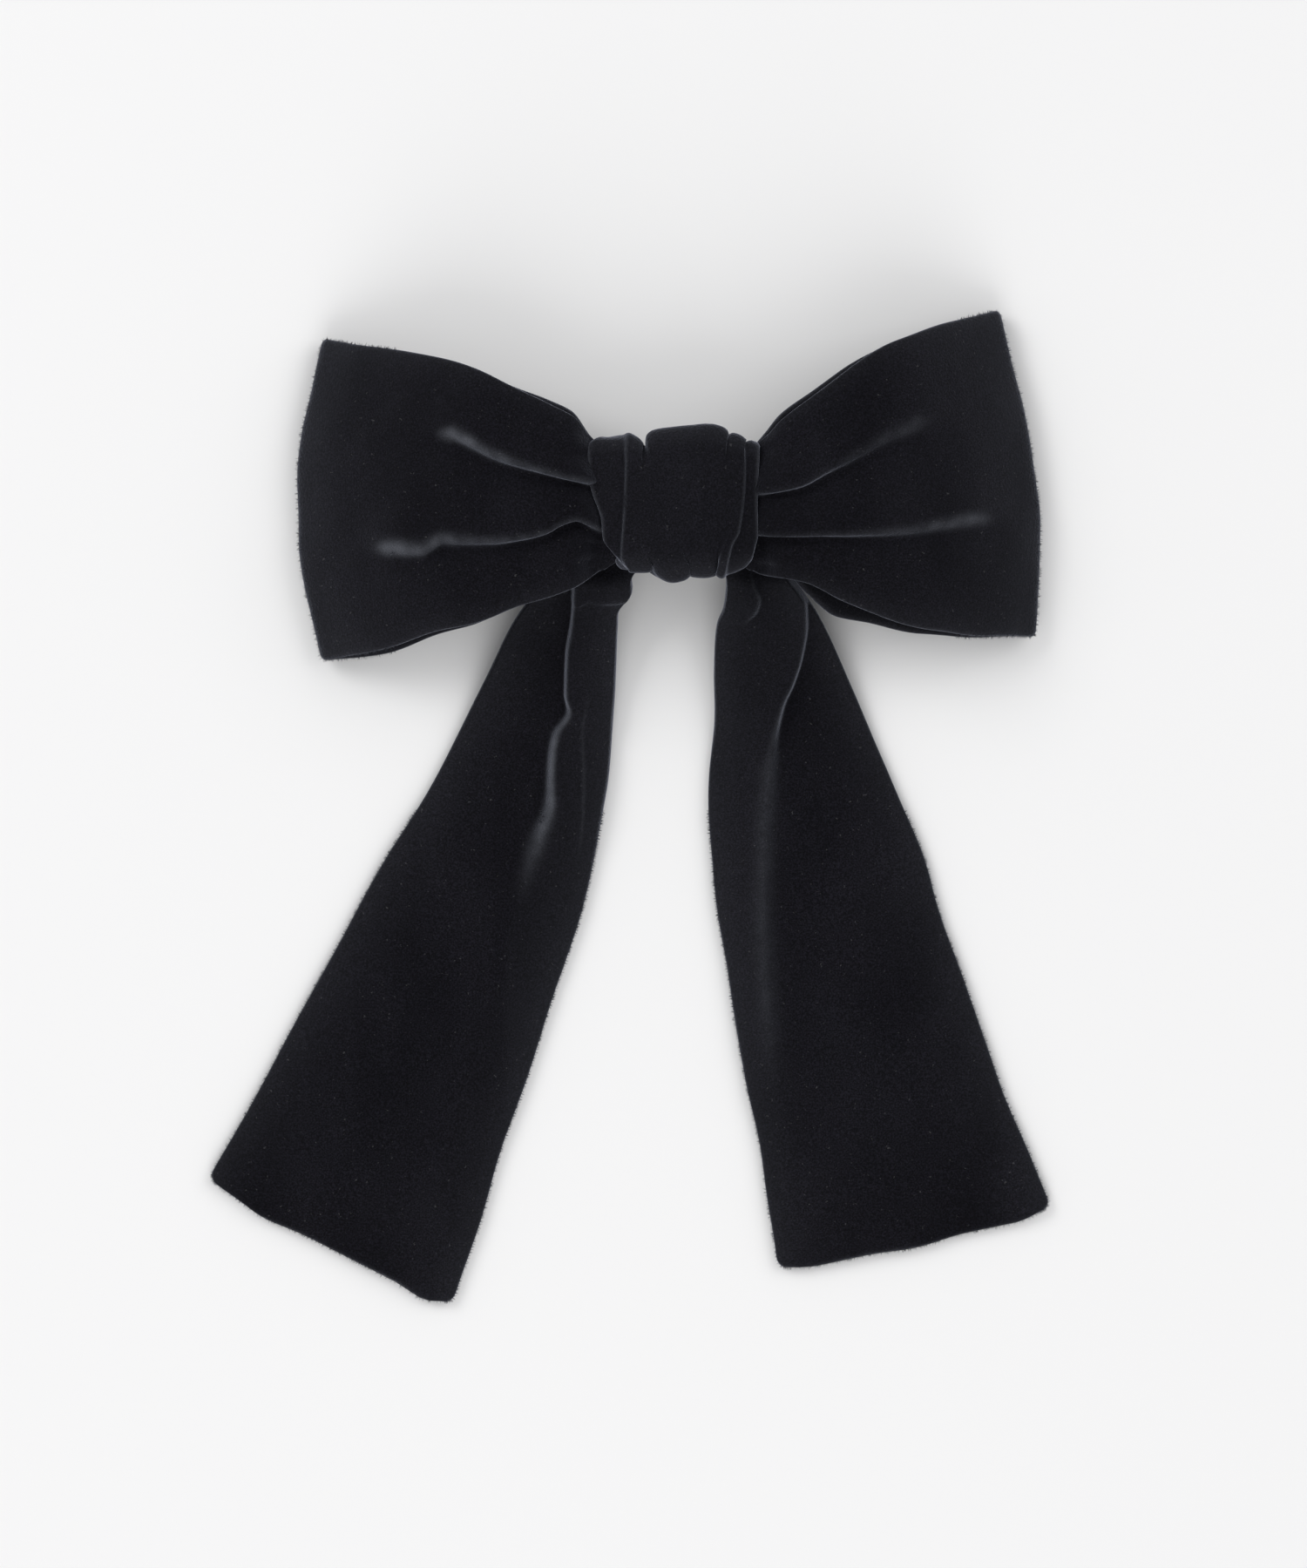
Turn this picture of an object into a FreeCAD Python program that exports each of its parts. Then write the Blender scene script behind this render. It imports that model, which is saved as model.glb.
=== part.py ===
import FreeCAD, Part

import math
import os

import Sketcher
from FreeCAD import Placement, Rotation, Vector

# Velvet hair bow on an 80 mm French barrette, lying on its back on a table.
# Millimetres. +Z is up and out of the front of the bow, +Y is the top of the bow as worn, +X is
# to the right. The table is z = 0, and the origin is below the middle of the whole bow.
# Every piece is drawn about the middle of the knot and moved by its Placement.

DRIVING_SIZES = {
    "knot_x": 10.6,
    "knot_y": 69.5,
    # barrette
    "arch_radius": 180,
    "clip_lift": 1.2,
    "arm_half_length": 41.6,
    "arm_thickness": 0.7,
    "arm_width": 7.4,
    "arm_rail": 1.6,
    "hair_gap": 7.4,
    "plate_thickness": 0.6,
    "plate_width": 9,
    "plate_half_length": 40,
    "leaf_radius": 1900,
    "leaf_thickness": 0.3,
    "leaf_width": 4,
    "leaf_half_length": 31,
    "leaf_drop": 2.4,
    "bridge_x": 29.5,
    "bridge_length": 1.6,
    "bridge_wall": 0.6,
    "sewing_x": 33.3,
    "sewing_hole": 1.5,
    "pin_x": 38.3,
    "pin_height": 4.4,
    "pin_diameter": 1.6,
    "pin_bore": 1.7,
    "lug_radius": 1.6,
    "lug_thickness": 0.6,
    "lug_clearance": 0.2,
    "catch_x": 38,
    "catch_width": 5.6,
    "catch_thickness": 0.6,
    "ear_thickness": 0.5,
    "ear_inset": 1.6,
    "ear_half_length": 1.4,
    "ear_chamfer": 0.8,
    "lip_reach": 0.4,
    "lip_length": 2.2,
    "lip_height": 1.2,
    "lip_rise": 0.4,
    "window_half_width": 2.6,
    "window_half_length": 2.2,
    "tab_reach": 5.6,
    "tab_bottom": 3.2,
    "tab_top": 7.8,
    "tab_slope": 0.4,
    "tab_shoulder": 1.2,
    "rivet_x": 37.1,
    "rivet_diameter": 1.4,
    "rivet_head": 2.4,
    "rivet_head_height": 0.35,
    "glue_line": 0.03,
    # felt pad between plate and velvet
    "pad_thickness": 1.1,
    "pad_width": 10,
    "pad_half_length": 35.5,
    # velvet
    "left_reach": 87.3,
    "right_reach": 83.7,
    "tail_thickness": 2.8,
    "tail_top_height": 15.95,
    "tail_top_y": 8,
    "knot_half_length": 19,
    "knot_half_width": 17,
    "knot_back": 18.85,
    "knot_top": 32.1,
    "knot_back_wall": 2.5,
    "knot_front_wall": 3.3,
    "knot_side_wall": 3.2,
    "neck_half_width": 13.4,
    "neck_bottom": 21.4,
    "neck_top": 28.75,
    "neck_start": 0.3,
    "loop_wall": 2.4,
    "thread_diameter": 0.6,
    "thread_bend": 0.36,
    "binding_turns": 6,
    "binding_pitch": 0.75,
    "binding_depth": 0.8,
    "seam_stitches": 9,
    "seam_y": 11.4,
    "seam_end_margin": 3,
}

doc = FreeCAD.newDocument("hair_bow")
sheet = doc.addObject("Spreadsheet::Sheet", "Sizes")
for row, (alias, figure) in enumerate(DRIVING_SIZES.items(), start=1):
    sheet.set(f"A{row}", alias.replace("_", " "))
    sheet.set(f"B{row}", str(figure))
    sheet.setAlias(f"B{row}", alias)
doc.recompute()


def size(alias):
    return float(sheet.get(alias))


# Expressions shared by several pieces: the barrette is a stack of arched strips on one centre.
ARCH_CENTRE = "(Sizes.clip_lift - sqrt(Sizes.arch_radius^2 - Sizes.arm_half_length^2))"
ARM_TOP = "(Sizes.arch_radius + Sizes.arm_thickness)"
PLATE_UNDER = f"({ARM_TOP} + Sizes.hair_gap)"
PLATE_TOP = f"({PLATE_UNDER} + Sizes.plate_thickness)"
PAD_UNDER = f"({PLATE_TOP} + Sizes.glue_line)"
PAD_TOP = f"({PAD_UNDER} + Sizes.pad_thickness)"
CATCH_TOP = f"({PLATE_UNDER} - Sizes.glue_line)"
CATCH_UNDER = f"({CATCH_TOP} - Sizes.catch_thickness)"


def height_on(radius, x):
    """Expression for the height of an arch of this radius at x."""
    return f"({ARCH_CENTRE} + sqrt({radius}^2 - ({x})^2))"


def value(expression):
    return float(sheet.evalExpression(str(expression).replace("Sizes.", "")))


# ---------------------------------------------------------------- sketches and features


def new_body(name):
    """A Body drawn about the middle of the knot, named after its piece."""
    body = doc.addObject("PartDesign::Body", name)
    body.Label = name
    body.setExpression("Placement.Base.x", "Sizes.knot_x")
    body.setExpression("Placement.Base.y", "Sizes.knot_y")
    return body


def new_sketch(body, name, plane, offset=None, turn=None):
    """A sketch on one of the body's own origin planes, with an optional offset and turn."""
    sketch = body.newObject("Sketcher::SketchObject", name)
    support = next(item for item in body.Origin.OriginFeatures if item.Role == plane)
    sketch.AttachmentSupport = [(support, "")]
    sketch.MapMode = "FlatFace"
    sketch.AttachmentOffset = Placement(offset or Vector(), turn or Rotation())
    return sketch


def bind(sketch, constraint, expression):
    index = sketch.addConstraint(constraint)
    name = f"size_{index}"
    sketch.renameConstraint(index, name)
    sketch.setExpression(f"Constraints.{name}", str(expression))


def polygon(sketch, corners):
    """A closed outline whose corners are pairs of expressions."""
    points = [Vector(value(x), value(y), 0) for x, y in corners]
    count = len(points)
    lines = []
    for k, point in enumerate(points):
        line = Part.LineSegment(point, points[(k + 1) % count])
        lines.append(sketch.addGeometry(line))
    for k, (point, (x, y)) in enumerate(zip(points, corners)):
        follower = lines[(k + 1) % count]
        sketch.addConstraint(Sketcher.Constraint("Coincident", lines[k], 2, follower, 1))
        bind(sketch, Sketcher.Constraint("DistanceX", -1, 1, lines[k], 1, point.x), x)
        bind(sketch, Sketcher.Constraint("DistanceY", -1, 1, lines[k], 1, point.y), y)


def circle(sketch, x, y, diameter):
    centre = Vector(value(x), value(y), 0)
    ring = Part.Circle(centre, Vector(0, 0, 1), value(diameter) / 2)
    hole = sketch.addGeometry(ring)
    bind(sketch, Sketcher.Constraint("DistanceX", -1, 1, hole, 3, centre.x), x)
    bind(sketch, Sketcher.Constraint("DistanceY", -1, 1, hole, 3, centre.y), y)
    bind(sketch, Sketcher.Constraint("Diameter", hole, value(diameter)), diameter)


def arched_strip(sketch, inner, outer, left, right, centre=ARCH_CENTRE):
    """The side view of an arched strip between two radii, cut off at left and right."""
    middle = Vector(0, value(centre), 0)
    arcs = []
    corners = []
    for radius in (value(inner), value(outer)):
        ends = [math.acos(value(x) / radius) for x in (right, left)]
        ring = Part.Circle(middle, Vector(0, 0, 1), radius)
        arcs.append(sketch.addGeometry(Part.ArcOfCircle(ring, *ends)))
        corners.append([middle + Vector(math.cos(a), math.sin(a), 0) * radius for a in ends])
    low, high = arcs
    left_end = sketch.addGeometry(Part.LineSegment(corners[0][1], corners[1][1]))
    right_end = sketch.addGeometry(Part.LineSegment(corners[1][0], corners[0][0]))
    for joint in (
        (low, 2, left_end, 1),
        (left_end, 2, high, 2),
        (high, 1, right_end, 1),
        (right_end, 2, low, 1),
        (low, 3, high, 3),
    ):
        sketch.addConstraint(Sketcher.Constraint("Coincident", *joint))
    sketch.addConstraint(Sketcher.Constraint("PointOnObject", low, 3, -2))
    bind(sketch, Sketcher.Constraint("DistanceY", -1, 1, low, 3, middle.y), centre)
    bind(sketch, Sketcher.Constraint("Radius", low, value(inner)), inner)
    bind(sketch, Sketcher.Constraint("Radius", high, value(outer)), outer)
    for arc in arcs:
        for end, x in ((1, right), (2, left)):
            bind(sketch, Sketcher.Constraint("DistanceX", -1, 1, arc, end, value(x)), x)


def pad(body, sketch, length):
    feature = body.newObject("PartDesign::Pad", sketch.Name + "_pad")
    feature.Profile = sketch
    feature.Midplane = True
    feature.setExpression("Length", str(length))
    return feature


def pocket(body, sketch, length):
    """A cut through both sides of the sketch that has to take material away."""
    doc.recompute()
    before = body.Shape.Volume
    feature = body.newObject("PartDesign::Pocket", sketch.Name + "_cut")
    feature.Profile = sketch
    feature.Midplane = True
    feature.setExpression("Length", str(length))
    doc.recompute()
    if body.Shape.Volume > before - 1e-3:
        raise RuntimeError(f"{sketch.Name} cuts nothing")
    return feature


def mirror(body, features, plane):
    doc.recompute()
    feature = body.newObject("PartDesign::Mirrored", features[0].Name + "_mirror")
    feature.Originals = features
    support = next(item for item in body.Origin.OriginFeatures if item.Role == plane)
    feature.MirrorPlane = (support, [""])
    body.Tip = feature
    return feature


def turned(body, corners):
    """A round piece about the body's own Z axis, from half of its section."""
    sketch = new_sketch(body, body.Name + "_section", "XZ_Plane")
    polygon(sketch, corners)
    feature = body.newObject("PartDesign::Revolution", body.Name + "_turned")
    feature.Profile = sketch
    feature.ReferenceAxis = (sketch, ["V_Axis"])
    feature.Angle = 360
    return feature


def side_plates(body, name, corners, outer_face, thickness):
    """Two upright plates, one at each side, whose outer faces are outer_face from the middle."""
    half = f"({outer_face} - {thickness} / 2)"
    sketch = new_sketch(body, name, "XZ_Plane")
    # The XZ plane's own normal points to -Y.
    sketch.setExpression("AttachmentOffset.Base.z", half)
    polygon(sketch, corners)
    plate = pad(body, sketch, thickness)
    return mirror(body, [plate], "XZ_Plane")


# ---------------------------------------------------------------- barrette


def hinge_plate(toward, end):
    """Side view of a hinge plate: an octagon round the pin, with a leg to the arch beyond."""
    flat = "Sizes.lug_radius * 0.414"
    up = "1" if toward == "up" else "-1"
    z = f"Sizes.pin_height - {up} * "
    x = "-Sizes.pin_x"
    return [
        (f"{x} - Sizes.lug_radius", end[0]),
        (f"{x} - Sizes.lug_radius", f"{z}{flat}"),
        (f"{x} - {flat}", f"{z}Sizes.lug_radius"),
        (f"{x} + {flat}", f"{z}Sizes.lug_radius"),
        (f"{x} + Sizes.lug_radius", f"{z}{flat}"),
        (f"{x} + Sizes.lug_radius", end[1]),
    ]


def inside_arch(inner, outer):
    """Heights in the middle of an arched strip at both edges of a hinge plate."""
    middle = f"(({inner} + {outer}) / 2)"
    edges = ("Sizes.pin_x + Sizes.lug_radius", "Sizes.pin_x - Sizes.lug_radius")
    return [height_on(middle, x) for x in edges]


def clip_base_plate():
    body = new_body("clip_base_plate")
    strip = new_sketch(body, "plate_side", "XZ_Plane")
    reach = "Sizes.plate_half_length"
    arched_strip(strip, PLATE_UNDER, PLATE_TOP, f"-{reach}", reach)
    pad(body, strip, "Sizes.plate_width")

    ears = hinge_plate("up", inside_arch(PLATE_UNDER, PLATE_TOP))
    side_plates(body, "hinge_ear", ears, "Sizes.plate_width / 2", "Sizes.lug_thickness")

    bore = new_sketch(body, "hinge_bore", "XZ_Plane")
    circle(bore, "-Sizes.pin_x", "Sizes.pin_height", "Sizes.pin_bore")
    pocket(body, bore, "2 * Sizes.plate_width")

    under = height_on(PLATE_UNDER, "Sizes.bridge_x")
    slot_floor = f"({under} - Sizes.bridge_wall - Sizes.leaf_thickness / 2)"
    inner = "(Sizes.leaf_width / 2 + Sizes.lug_clearance)"
    outer = f"({inner} + Sizes.bridge_wall)"
    root = f"({under} + Sizes.plate_thickness / 2)"
    bridge = new_sketch(body, "leaf_bridge", "YZ_Plane")
    bridge.setExpression("AttachmentOffset.Base.z", "Sizes.bridge_x")
    polygon(
        bridge,
        [
            (f"-{outer}", root),
            (f"-{outer}", f"{slot_floor} - Sizes.bridge_wall"),
            (outer, f"{slot_floor} - Sizes.bridge_wall"),
            (outer, root),
            (inner, root),
            (inner, slot_floor),
            (f"-{inner}", slot_floor),
            (f"-{inner}", root),
        ],
    )
    mirror(body, [pad(body, bridge, "Sizes.bridge_length")], "YZ_Plane")

    holes = new_sketch(body, "sewing_holes", "XY_Plane")
    for side in ("", "-"):
        circle(holes, f"{side}Sizes.sewing_x", 0, "Sizes.sewing_hole")
    pocket(body, holes, "4 * Sizes.pin_x")

    rivet_hole(body, PLATE_UNDER)


def rivet_angle():
    return math.degrees(math.asin(value("Sizes.rivet_x") / value(PLATE_UNDER)))


def rivet_hole(body, radius):
    """A hole square to the arch, where the catch is riveted to the plate."""
    turn = Rotation(Vector(0, 1, 0), rivet_angle())
    spot = Vector(size("rivet_x"), 0, value(height_on(radius, "Sizes.rivet_x")))
    hole = new_sketch(body, body.Name + "_rivet_hole", "XY_Plane", spot, turn)
    circle(hole, 0, 0, "Sizes.rivet_diameter + 2 * Sizes.glue_line")
    pocket(body, hole, "4 * Sizes.plate_thickness")


def clip_clasp_arm():
    body = new_body("clip_clasp_arm")
    strip = new_sketch(body, "arm_side", "XZ_Plane")
    left = "(-Sizes.pin_x - Sizes.lug_radius)"
    arched_strip(strip, "Sizes.arch_radius", ARM_TOP, left, "Sizes.arm_half_length")
    pad(body, strip, "Sizes.arm_width")

    lugs = hinge_plate("down", inside_arch("Sizes.arch_radius", ARM_TOP))
    side_plates(body, "arm_lug", lugs, "Sizes.arm_width / 2", "Sizes.lug_thickness")

    bore = new_sketch(body, "arm_bore", "XZ_Plane")
    circle(bore, "-Sizes.pin_x", "Sizes.pin_height", "Sizes.pin_bore")
    pocket(body, bore, "2 * Sizes.plate_width")

    rail = "(Sizes.arm_width / 2 - Sizes.arm_rail)"
    start = "(-Sizes.pin_x + 3 * Sizes.lug_radius)"
    stop = "(Sizes.catch_x - 4 * Sizes.window_half_length)"
    slot = new_sketch(body, "long_slot", "XY_Plane")
    polygon(slot, [(start, f"-{rail}"), (stop, f"-{rail}"), (stop, rail), (start, rail)])
    pocket(body, slot, "4 * Sizes.pin_x")

    half = "Sizes.window_half_width"
    near = "(Sizes.catch_x - Sizes.window_half_length)"
    far = "(Sizes.catch_x + Sizes.window_half_length)"
    window = new_sketch(body, "catch_window", "XY_Plane")
    polygon(window, [(near, f"-{half}"), (far, f"-{half}"), (far, half), (near, half)])
    pocket(body, window, "4 * Sizes.pin_x")


def clip_tension_spring():
    body = new_body("clip_tension_spring")
    crown = f"({height_on(PLATE_UNDER, 0)} - Sizes.leaf_drop)"
    centre = f"({crown} - Sizes.leaf_radius)"
    reach = "Sizes.leaf_half_length"
    leaf = new_sketch(body, "leaf_side", "XZ_Plane")
    inner = "(Sizes.leaf_radius - Sizes.leaf_thickness)"
    arched_strip(leaf, inner, "Sizes.leaf_radius", f"-{reach}", reach, centre)
    pad(body, leaf, "Sizes.leaf_width")


def clip_hinge_pin():
    body = new_body("clip_hinge_pin")
    shank = "Sizes.pin_diameter / 2"
    head = "Sizes.pin_diameter * 0.75"
    inner = "(Sizes.plate_width / 2 + Sizes.glue_line)"
    outer = f"({inner} + Sizes.pin_diameter / 4)"
    turned(
        body,
        [
            (0, f"-{outer}"),
            (shank, f"-{outer}"),
            (head, f"-{inner}"),
            (shank, f"-{inner}"),
            (shank, inner),
            (head, inner),
            (shank, outer),
            (0, outer),
        ],
    )
    body.Placement = Placement(Vector(), Rotation(Vector(1, 0, 0), 90))
    body.setExpression("Placement.Base.x", "Sizes.knot_x - Sizes.pin_x")
    body.setExpression("Placement.Base.y", "Sizes.knot_y")
    body.setExpression("Placement.Base.z", "Sizes.pin_height")


def catch_bracket():
    body = new_body("catch_bracket")
    left = "(Sizes.rivet_x - Sizes.rivet_head * 0.8)"
    strip = new_sketch(body, "bracket_side", "XZ_Plane")
    arched_strip(strip, CATCH_UNDER, CATCH_TOP, left, "Sizes.plate_half_length")
    pad(body, strip, "Sizes.catch_width")
    rivet_hole(body, CATCH_TOP)


def catch_rivet():
    body = new_body("catch_rivet")
    shank = "Sizes.rivet_diameter / 2"
    head = "Sizes.rivet_head / 2"
    crown = "Sizes.rivet_head / 3"
    low = "(-Sizes.catch_thickness - 3 * Sizes.glue_line)"
    high = "(Sizes.plate_thickness + Sizes.glue_line)"
    turned(
        body,
        [
            (0, f"{low} - Sizes.rivet_head_height"),
            (crown, f"{low} - Sizes.rivet_head_height"),
            (head, low),
            (shank, low),
            (shank, high),
            (head, high),
            (crown, f"{high} + Sizes.rivet_head_height"),
            (0, f"{high} + Sizes.rivet_head_height"),
        ],
    )
    spot = height_on(PLATE_UNDER, "Sizes.rivet_x")
    body.Placement = Placement(Vector(), Rotation(Vector(0, 1, 0), rivet_angle()))
    body.setExpression("Placement.Base.x", "Sizes.knot_x + Sizes.rivet_x")
    body.setExpression("Placement.Base.y", "Sizes.knot_y")
    body.setExpression("Placement.Base.z", spot)


def catch_ear(name, side):
    """One squeeze ear of the catch: a leg through the arm's window, its lip and finger tab."""
    body = new_body(name)
    near = "(Sizes.catch_x - Sizes.ear_half_length)"
    far = "(Sizes.catch_x + Sizes.ear_half_length)"
    tab = "(Sizes.catch_x + Sizes.tab_reach)"
    root_gap = "4 * Sizes.glue_line"
    middle = f"{side} * (Sizes.ear_inset + Sizes.ear_thickness / 2)"
    leg = new_sketch(body, name + "_leg", "XZ_Plane")
    # The XZ plane's own normal points to -Y.
    leg.setExpression("AttachmentOffset.Base.z", f"-1 * {middle}")
    polygon(
        leg,
        [
            (near, f"{height_on(CATCH_UNDER, near)} - {root_gap}"),
            (near, "Sizes.clip_lift"),
            (f"{near} + Sizes.ear_chamfer", 0),
            (f"{far} - Sizes.ear_chamfer", 0),
            (far, "Sizes.clip_lift"),
            (far, "Sizes.tab_bottom"),
            (tab, "Sizes.tab_bottom + Sizes.tab_slope"),
            (tab, "Sizes.tab_top - Sizes.tab_shoulder"),
            (far, "Sizes.tab_top"),
            (far, f"{height_on(CATCH_UNDER, far)} - {root_gap}"),
        ],
    )
    pad(body, leg, "Sizes.ear_thickness")
    edge = f"{side} * (Sizes.ear_inset + Sizes.ear_thickness)"
    tip = f"({edge} + {side} * Sizes.lip_reach)"
    lip_top = "(Sizes.clip_lift + Sizes.lip_rise)"
    lip_foot = f"({lip_top} - Sizes.lip_height)"
    lip = new_sketch(body, name + "_lip", "YZ_Plane")
    lip.setExpression("AttachmentOffset.Base.z", "Sizes.catch_x")
    polygon(
        lip,
        [
            (middle, lip_top),
            (tip, f"{lip_top} - Sizes.lip_rise / 4"),
            (tip, f"{lip_top} - Sizes.lip_rise * 1.25"),
            (edge, lip_foot),
            (middle, lip_foot),
        ],
    )
    pad(body, lip, "Sizes.lip_length")


def back_pad():
    body = new_body("back_pad")
    strip = new_sketch(body, "pad_side", "XZ_Plane")
    reach = "Sizes.pad_half_length"
    arched_strip(strip, PAD_UNDER, PAD_TOP, f"-{reach}", reach)
    pad(body, strip, "Sizes.pad_width")


# ---------------------------------------------------------------- velvet


def knot_wrap():
    """The knot: a wide band wrapped once round the gathered middle of the loops."""
    body = new_body("knot_wrap")
    section = new_sketch(body, "knot_section", "YZ_Plane")
    half = "Sizes.knot_half_width"
    low = "Sizes.knot_back"
    high = "Sizes.knot_top"
    chamfer = "Sizes.knot_side_wall"
    polygon(
        section,
        [
            (f"-{half} + {chamfer}", low),
            (f"{half} - {chamfer}", low),
            (half, f"{low} + {chamfer}"),
            (half, f"{high} - {chamfer}"),
            (f"{half} - {chamfer}", high),
            (f"-{half} + {chamfer}", high),
            (f"-{half}", f"{high} - {chamfer}"),
            (f"-{half}", f"{low} + {chamfer}"),
        ],
    )
    pad(body, section, "2 * Sizes.knot_half_length")
    inner = f"({half} - Sizes.knot_side_wall)"
    floor = "(Sizes.knot_back + Sizes.knot_back_wall)"
    ceiling = "(Sizes.knot_top - Sizes.knot_front_wall)"
    hollow = new_sketch(body, "knot_hollow", "YZ_Plane")
    corners = [(f"-{inner}", floor), (inner, floor), (inner, ceiling), (f"-{inner}", ceiling)]
    polygon(hollow, corners)
    pocket(body, hollow, "4 * Sizes.knot_half_length")


def soft_piece(name, shape):
    """A piece whose outline is a free curve, placed like every other piece."""
    piece = doc.addObject("Part::Feature", name)
    piece.Label = name
    piece.Shape = shape
    piece.Placement = Placement(Vector(size("knot_x"), size("knot_y"), 0), Rotation())
    return piece


def curve(points):
    """A smooth edge through the points, or a straight one between two."""
    if len(points) == 2:
        return Part.LineSegment(*points).toShape()
    spline = Part.BSplineCurve()
    spline.interpolate(points)
    return spline.toShape()


def plan_prism(runs):
    """An upright prism on an outline seen from the front, given as runs that meet at corners."""
    edges = [curve([Vector(x, y, 0) for x, y in run]) for run in runs]
    return Part.Face(Part.Wire(edges)).extrude(Vector(0, 0, 2 * size("knot_top")))


def side_view_wire(runs):
    """An outline in the XZ plane, given as runs that meet at corners."""
    edges = [curve([Vector(x, 0, z) for x, z in run]) for run in runs]
    return Part.Wire(edges)


def inset(points, distance):
    """The points of a side view moved to the left of their own run."""
    moved = []
    for before, point, after in zip(points[:1] + points, points, points[1:] + points[-1:]):
        run = Vector(after[0] - before[0], after[1] - before[1], 0).normalize()
        moved.append((point[0] - run.y * distance, point[1] + run.x * distance))
    return moved


def loop_band(reach):
    """Side views of a loop that runs from the knot to reach: its outside and its hollow."""
    low, high = size("neck_bottom"), size("neck_top")
    start, mouth = size("neck_start"), size("knot_half_length")
    back = [(mouth, low), (27, low - 2.6), (34, low - 6.1), (42, low - 10.2), (52, 5.4)]
    table = [(reach - 24, 1.6), (reach - 14, 0.4), (reach - 5, 1)]
    fold = [(reach, 5), (reach - 6, 10.6)]
    front = [(reach - 18, 18.6), (55, 26.6), (42, high + 1.8), (29, high + 1.6), (mouth, high)]
    band = back + table + fold + front
    neck = [[(start, low), (mouth, low)], band, [(mouth, high), (start, high)]]
    outside = side_view_wire(neck + [[(start, high), (start, low)]])
    lining = inset(band, size("loop_wall"))
    inside = side_view_wire([lining, [lining[-1], lining[0]]])
    return [side_prism(wire) for wire in (outside, inside)]


def side_prism(wire):
    """A prism on a side view, long enough to pass both edges of the bow."""
    depth = 4 * size("knot_half_width")
    prism = Part.Face(wire).extrude(Vector(0, 2 * depth, 0))
    prism.translate(Vector(0, -depth, 0))
    return prism


def binding_groove():
    """Where the binding thread pinches the gathered velvet in the middle of the knot."""
    half = size("binding_turns") * size("binding_pitch") / 2 + 0.2
    depth = size("binding_depth")
    width = size("neck_half_width") - depth
    low, high = size("neck_bottom") + depth, size("neck_top") - depth
    outer = Part.makeBox(2 * half, 60, 30, Vector(-half, -30, 10))
    core = Part.makeBox(2 * half, 2 * width, high - low, Vector(-half, -width, low))
    return outer.cut(core)


def neck_runs(side, top, bottom):
    """The gathered neck inside the knot, closing an outline from its bottom to its top end."""
    inner, mouth = side * size("neck_start"), side * (size("knot_half_length") + 0.3)
    width = size("neck_half_width")
    corners = [bottom, (mouth, -width), (inner, -width), (inner, width), (mouth, width), top]
    return [list(pair) for pair in zip(corners, corners[1:])]


def hollow_plan(side, fold):
    """The reach of a loop's hollow: from outside the knot to a wall short of the outer fold."""
    depth = 4 * size("knot_half_width")
    mouth = side * (size("knot_half_length") + 4)
    wall = [(x - side * size("loop_wall"), y) for x, y in fold]
    high = (wall[0][0], depth)
    low = (wall[-1][0], -depth)
    corners = [wall[-1], low, (mouth, -depth), (mouth, depth), high, wall[0]]
    return plan_prism([wall] + [list(pair) for pair in zip(corners, corners[1:])])


def velvet_loop(side, top, fold, bottom, reach):
    plan = plan_prism([top, fold, bottom] + neck_runs(side, top[0], bottom[-1]))
    outside, inside = loop_band(reach)
    if side < 0:
        outside, inside = [prism.mirror(Vector(), Vector(1, 0, 0)) for prism in (outside, inside)]
    hollow = hollow_plan(side, fold).common(inside)
    return plan.common(outside).cut(hollow).cut(binding_groove())


def left_loop():
    top = [(-19.6, 15.4), (-26.6, 21.6), (-35.3, 25.6), (-48, 31.4), (-65.3, 35.6), (-80.7, 37.6)]
    fold = [(-80.7, 37.6), (-86.3, 16), (-87.1, -8), (-81.3, -35.4)]
    bottom = [(-81.3, -35.4), (-67.3, -33.6), (-46, -27), (-33, -21.2), (-19.6, -14.6)]
    soft_piece("left_loop", velvet_loop(-1, top, fold, bottom, size("left_reach")))


def right_loop():
    top = [(19.6, 15.5), (23.7, 19.6), (30.7, 25), (40.7, 32), (55, 38.4), (73.7, 44.4)]
    fold = [(73.7, 44.4), (80.6, 18), (83.7, -4), (82.1, -30)]
    bottom = [(82.1, -30), (60.7, -29.2), (44.7, -27.2), (31, -20.8), (19.6, -15)]
    soft_piece("right_loop", velvet_loop(1, top, fold, bottom, size("right_reach")))


def tail_strip():
    """The tails' side view: behind the knot at the top, then down to the table and flat on it."""
    thick = size("tail_thickness")
    height = size("tail_top_height")
    top, flat_end = size("tail_top_y"), -9
    landing, far_end = -56, -186
    half_span = 120
    drop = [(flat_end, height), (-16, height - 2.5), (-24, height - 6.5), (-34, 5), (-44, 1.5)]
    under = drop + [(landing, 0)]
    above = [(y, z + thick) for y, z in under]
    runs = [
        [(top, height), (flat_end, height)],
        under,
        [(landing, 0), (far_end, 0)],
        [(far_end, 0), (far_end, thick)],
        [(far_end, thick), (landing, thick)],
        above[::-1],
        [(flat_end, height + thick), (top, height + thick)],
        [(top, height + thick), (top, height)],
    ]
    edges = [curve([Vector(-half_span, y, z) for y, z in run]) for run in runs]
    return Part.Face(Part.Wire(edges)).extrude(Vector(2 * half_span, 0, 0))


def left_tail():
    runs = [
        [(-0.3, 10), (-17, 10)],
        [(-17, 10), (-17, -8)],
        [(-17, -8), (-35.3, -24), (-55.3, -64), (-79.3, -106), (-106.3, -153.4)],
        [(-106.3, -153.4), (-84, -167.6), (-50.3, -183.4)],
        [(-50.3, -183.4), (-35.3, -134), (-19.3, -84), (-14.3, -40), (-9.9, -16.6), (-0.3, -10)],
        [(-0.3, -10), (-0.3, 10)],
    ]
    soft_piece("left_tail", plan_prism(runs).common(tail_strip()))


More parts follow.
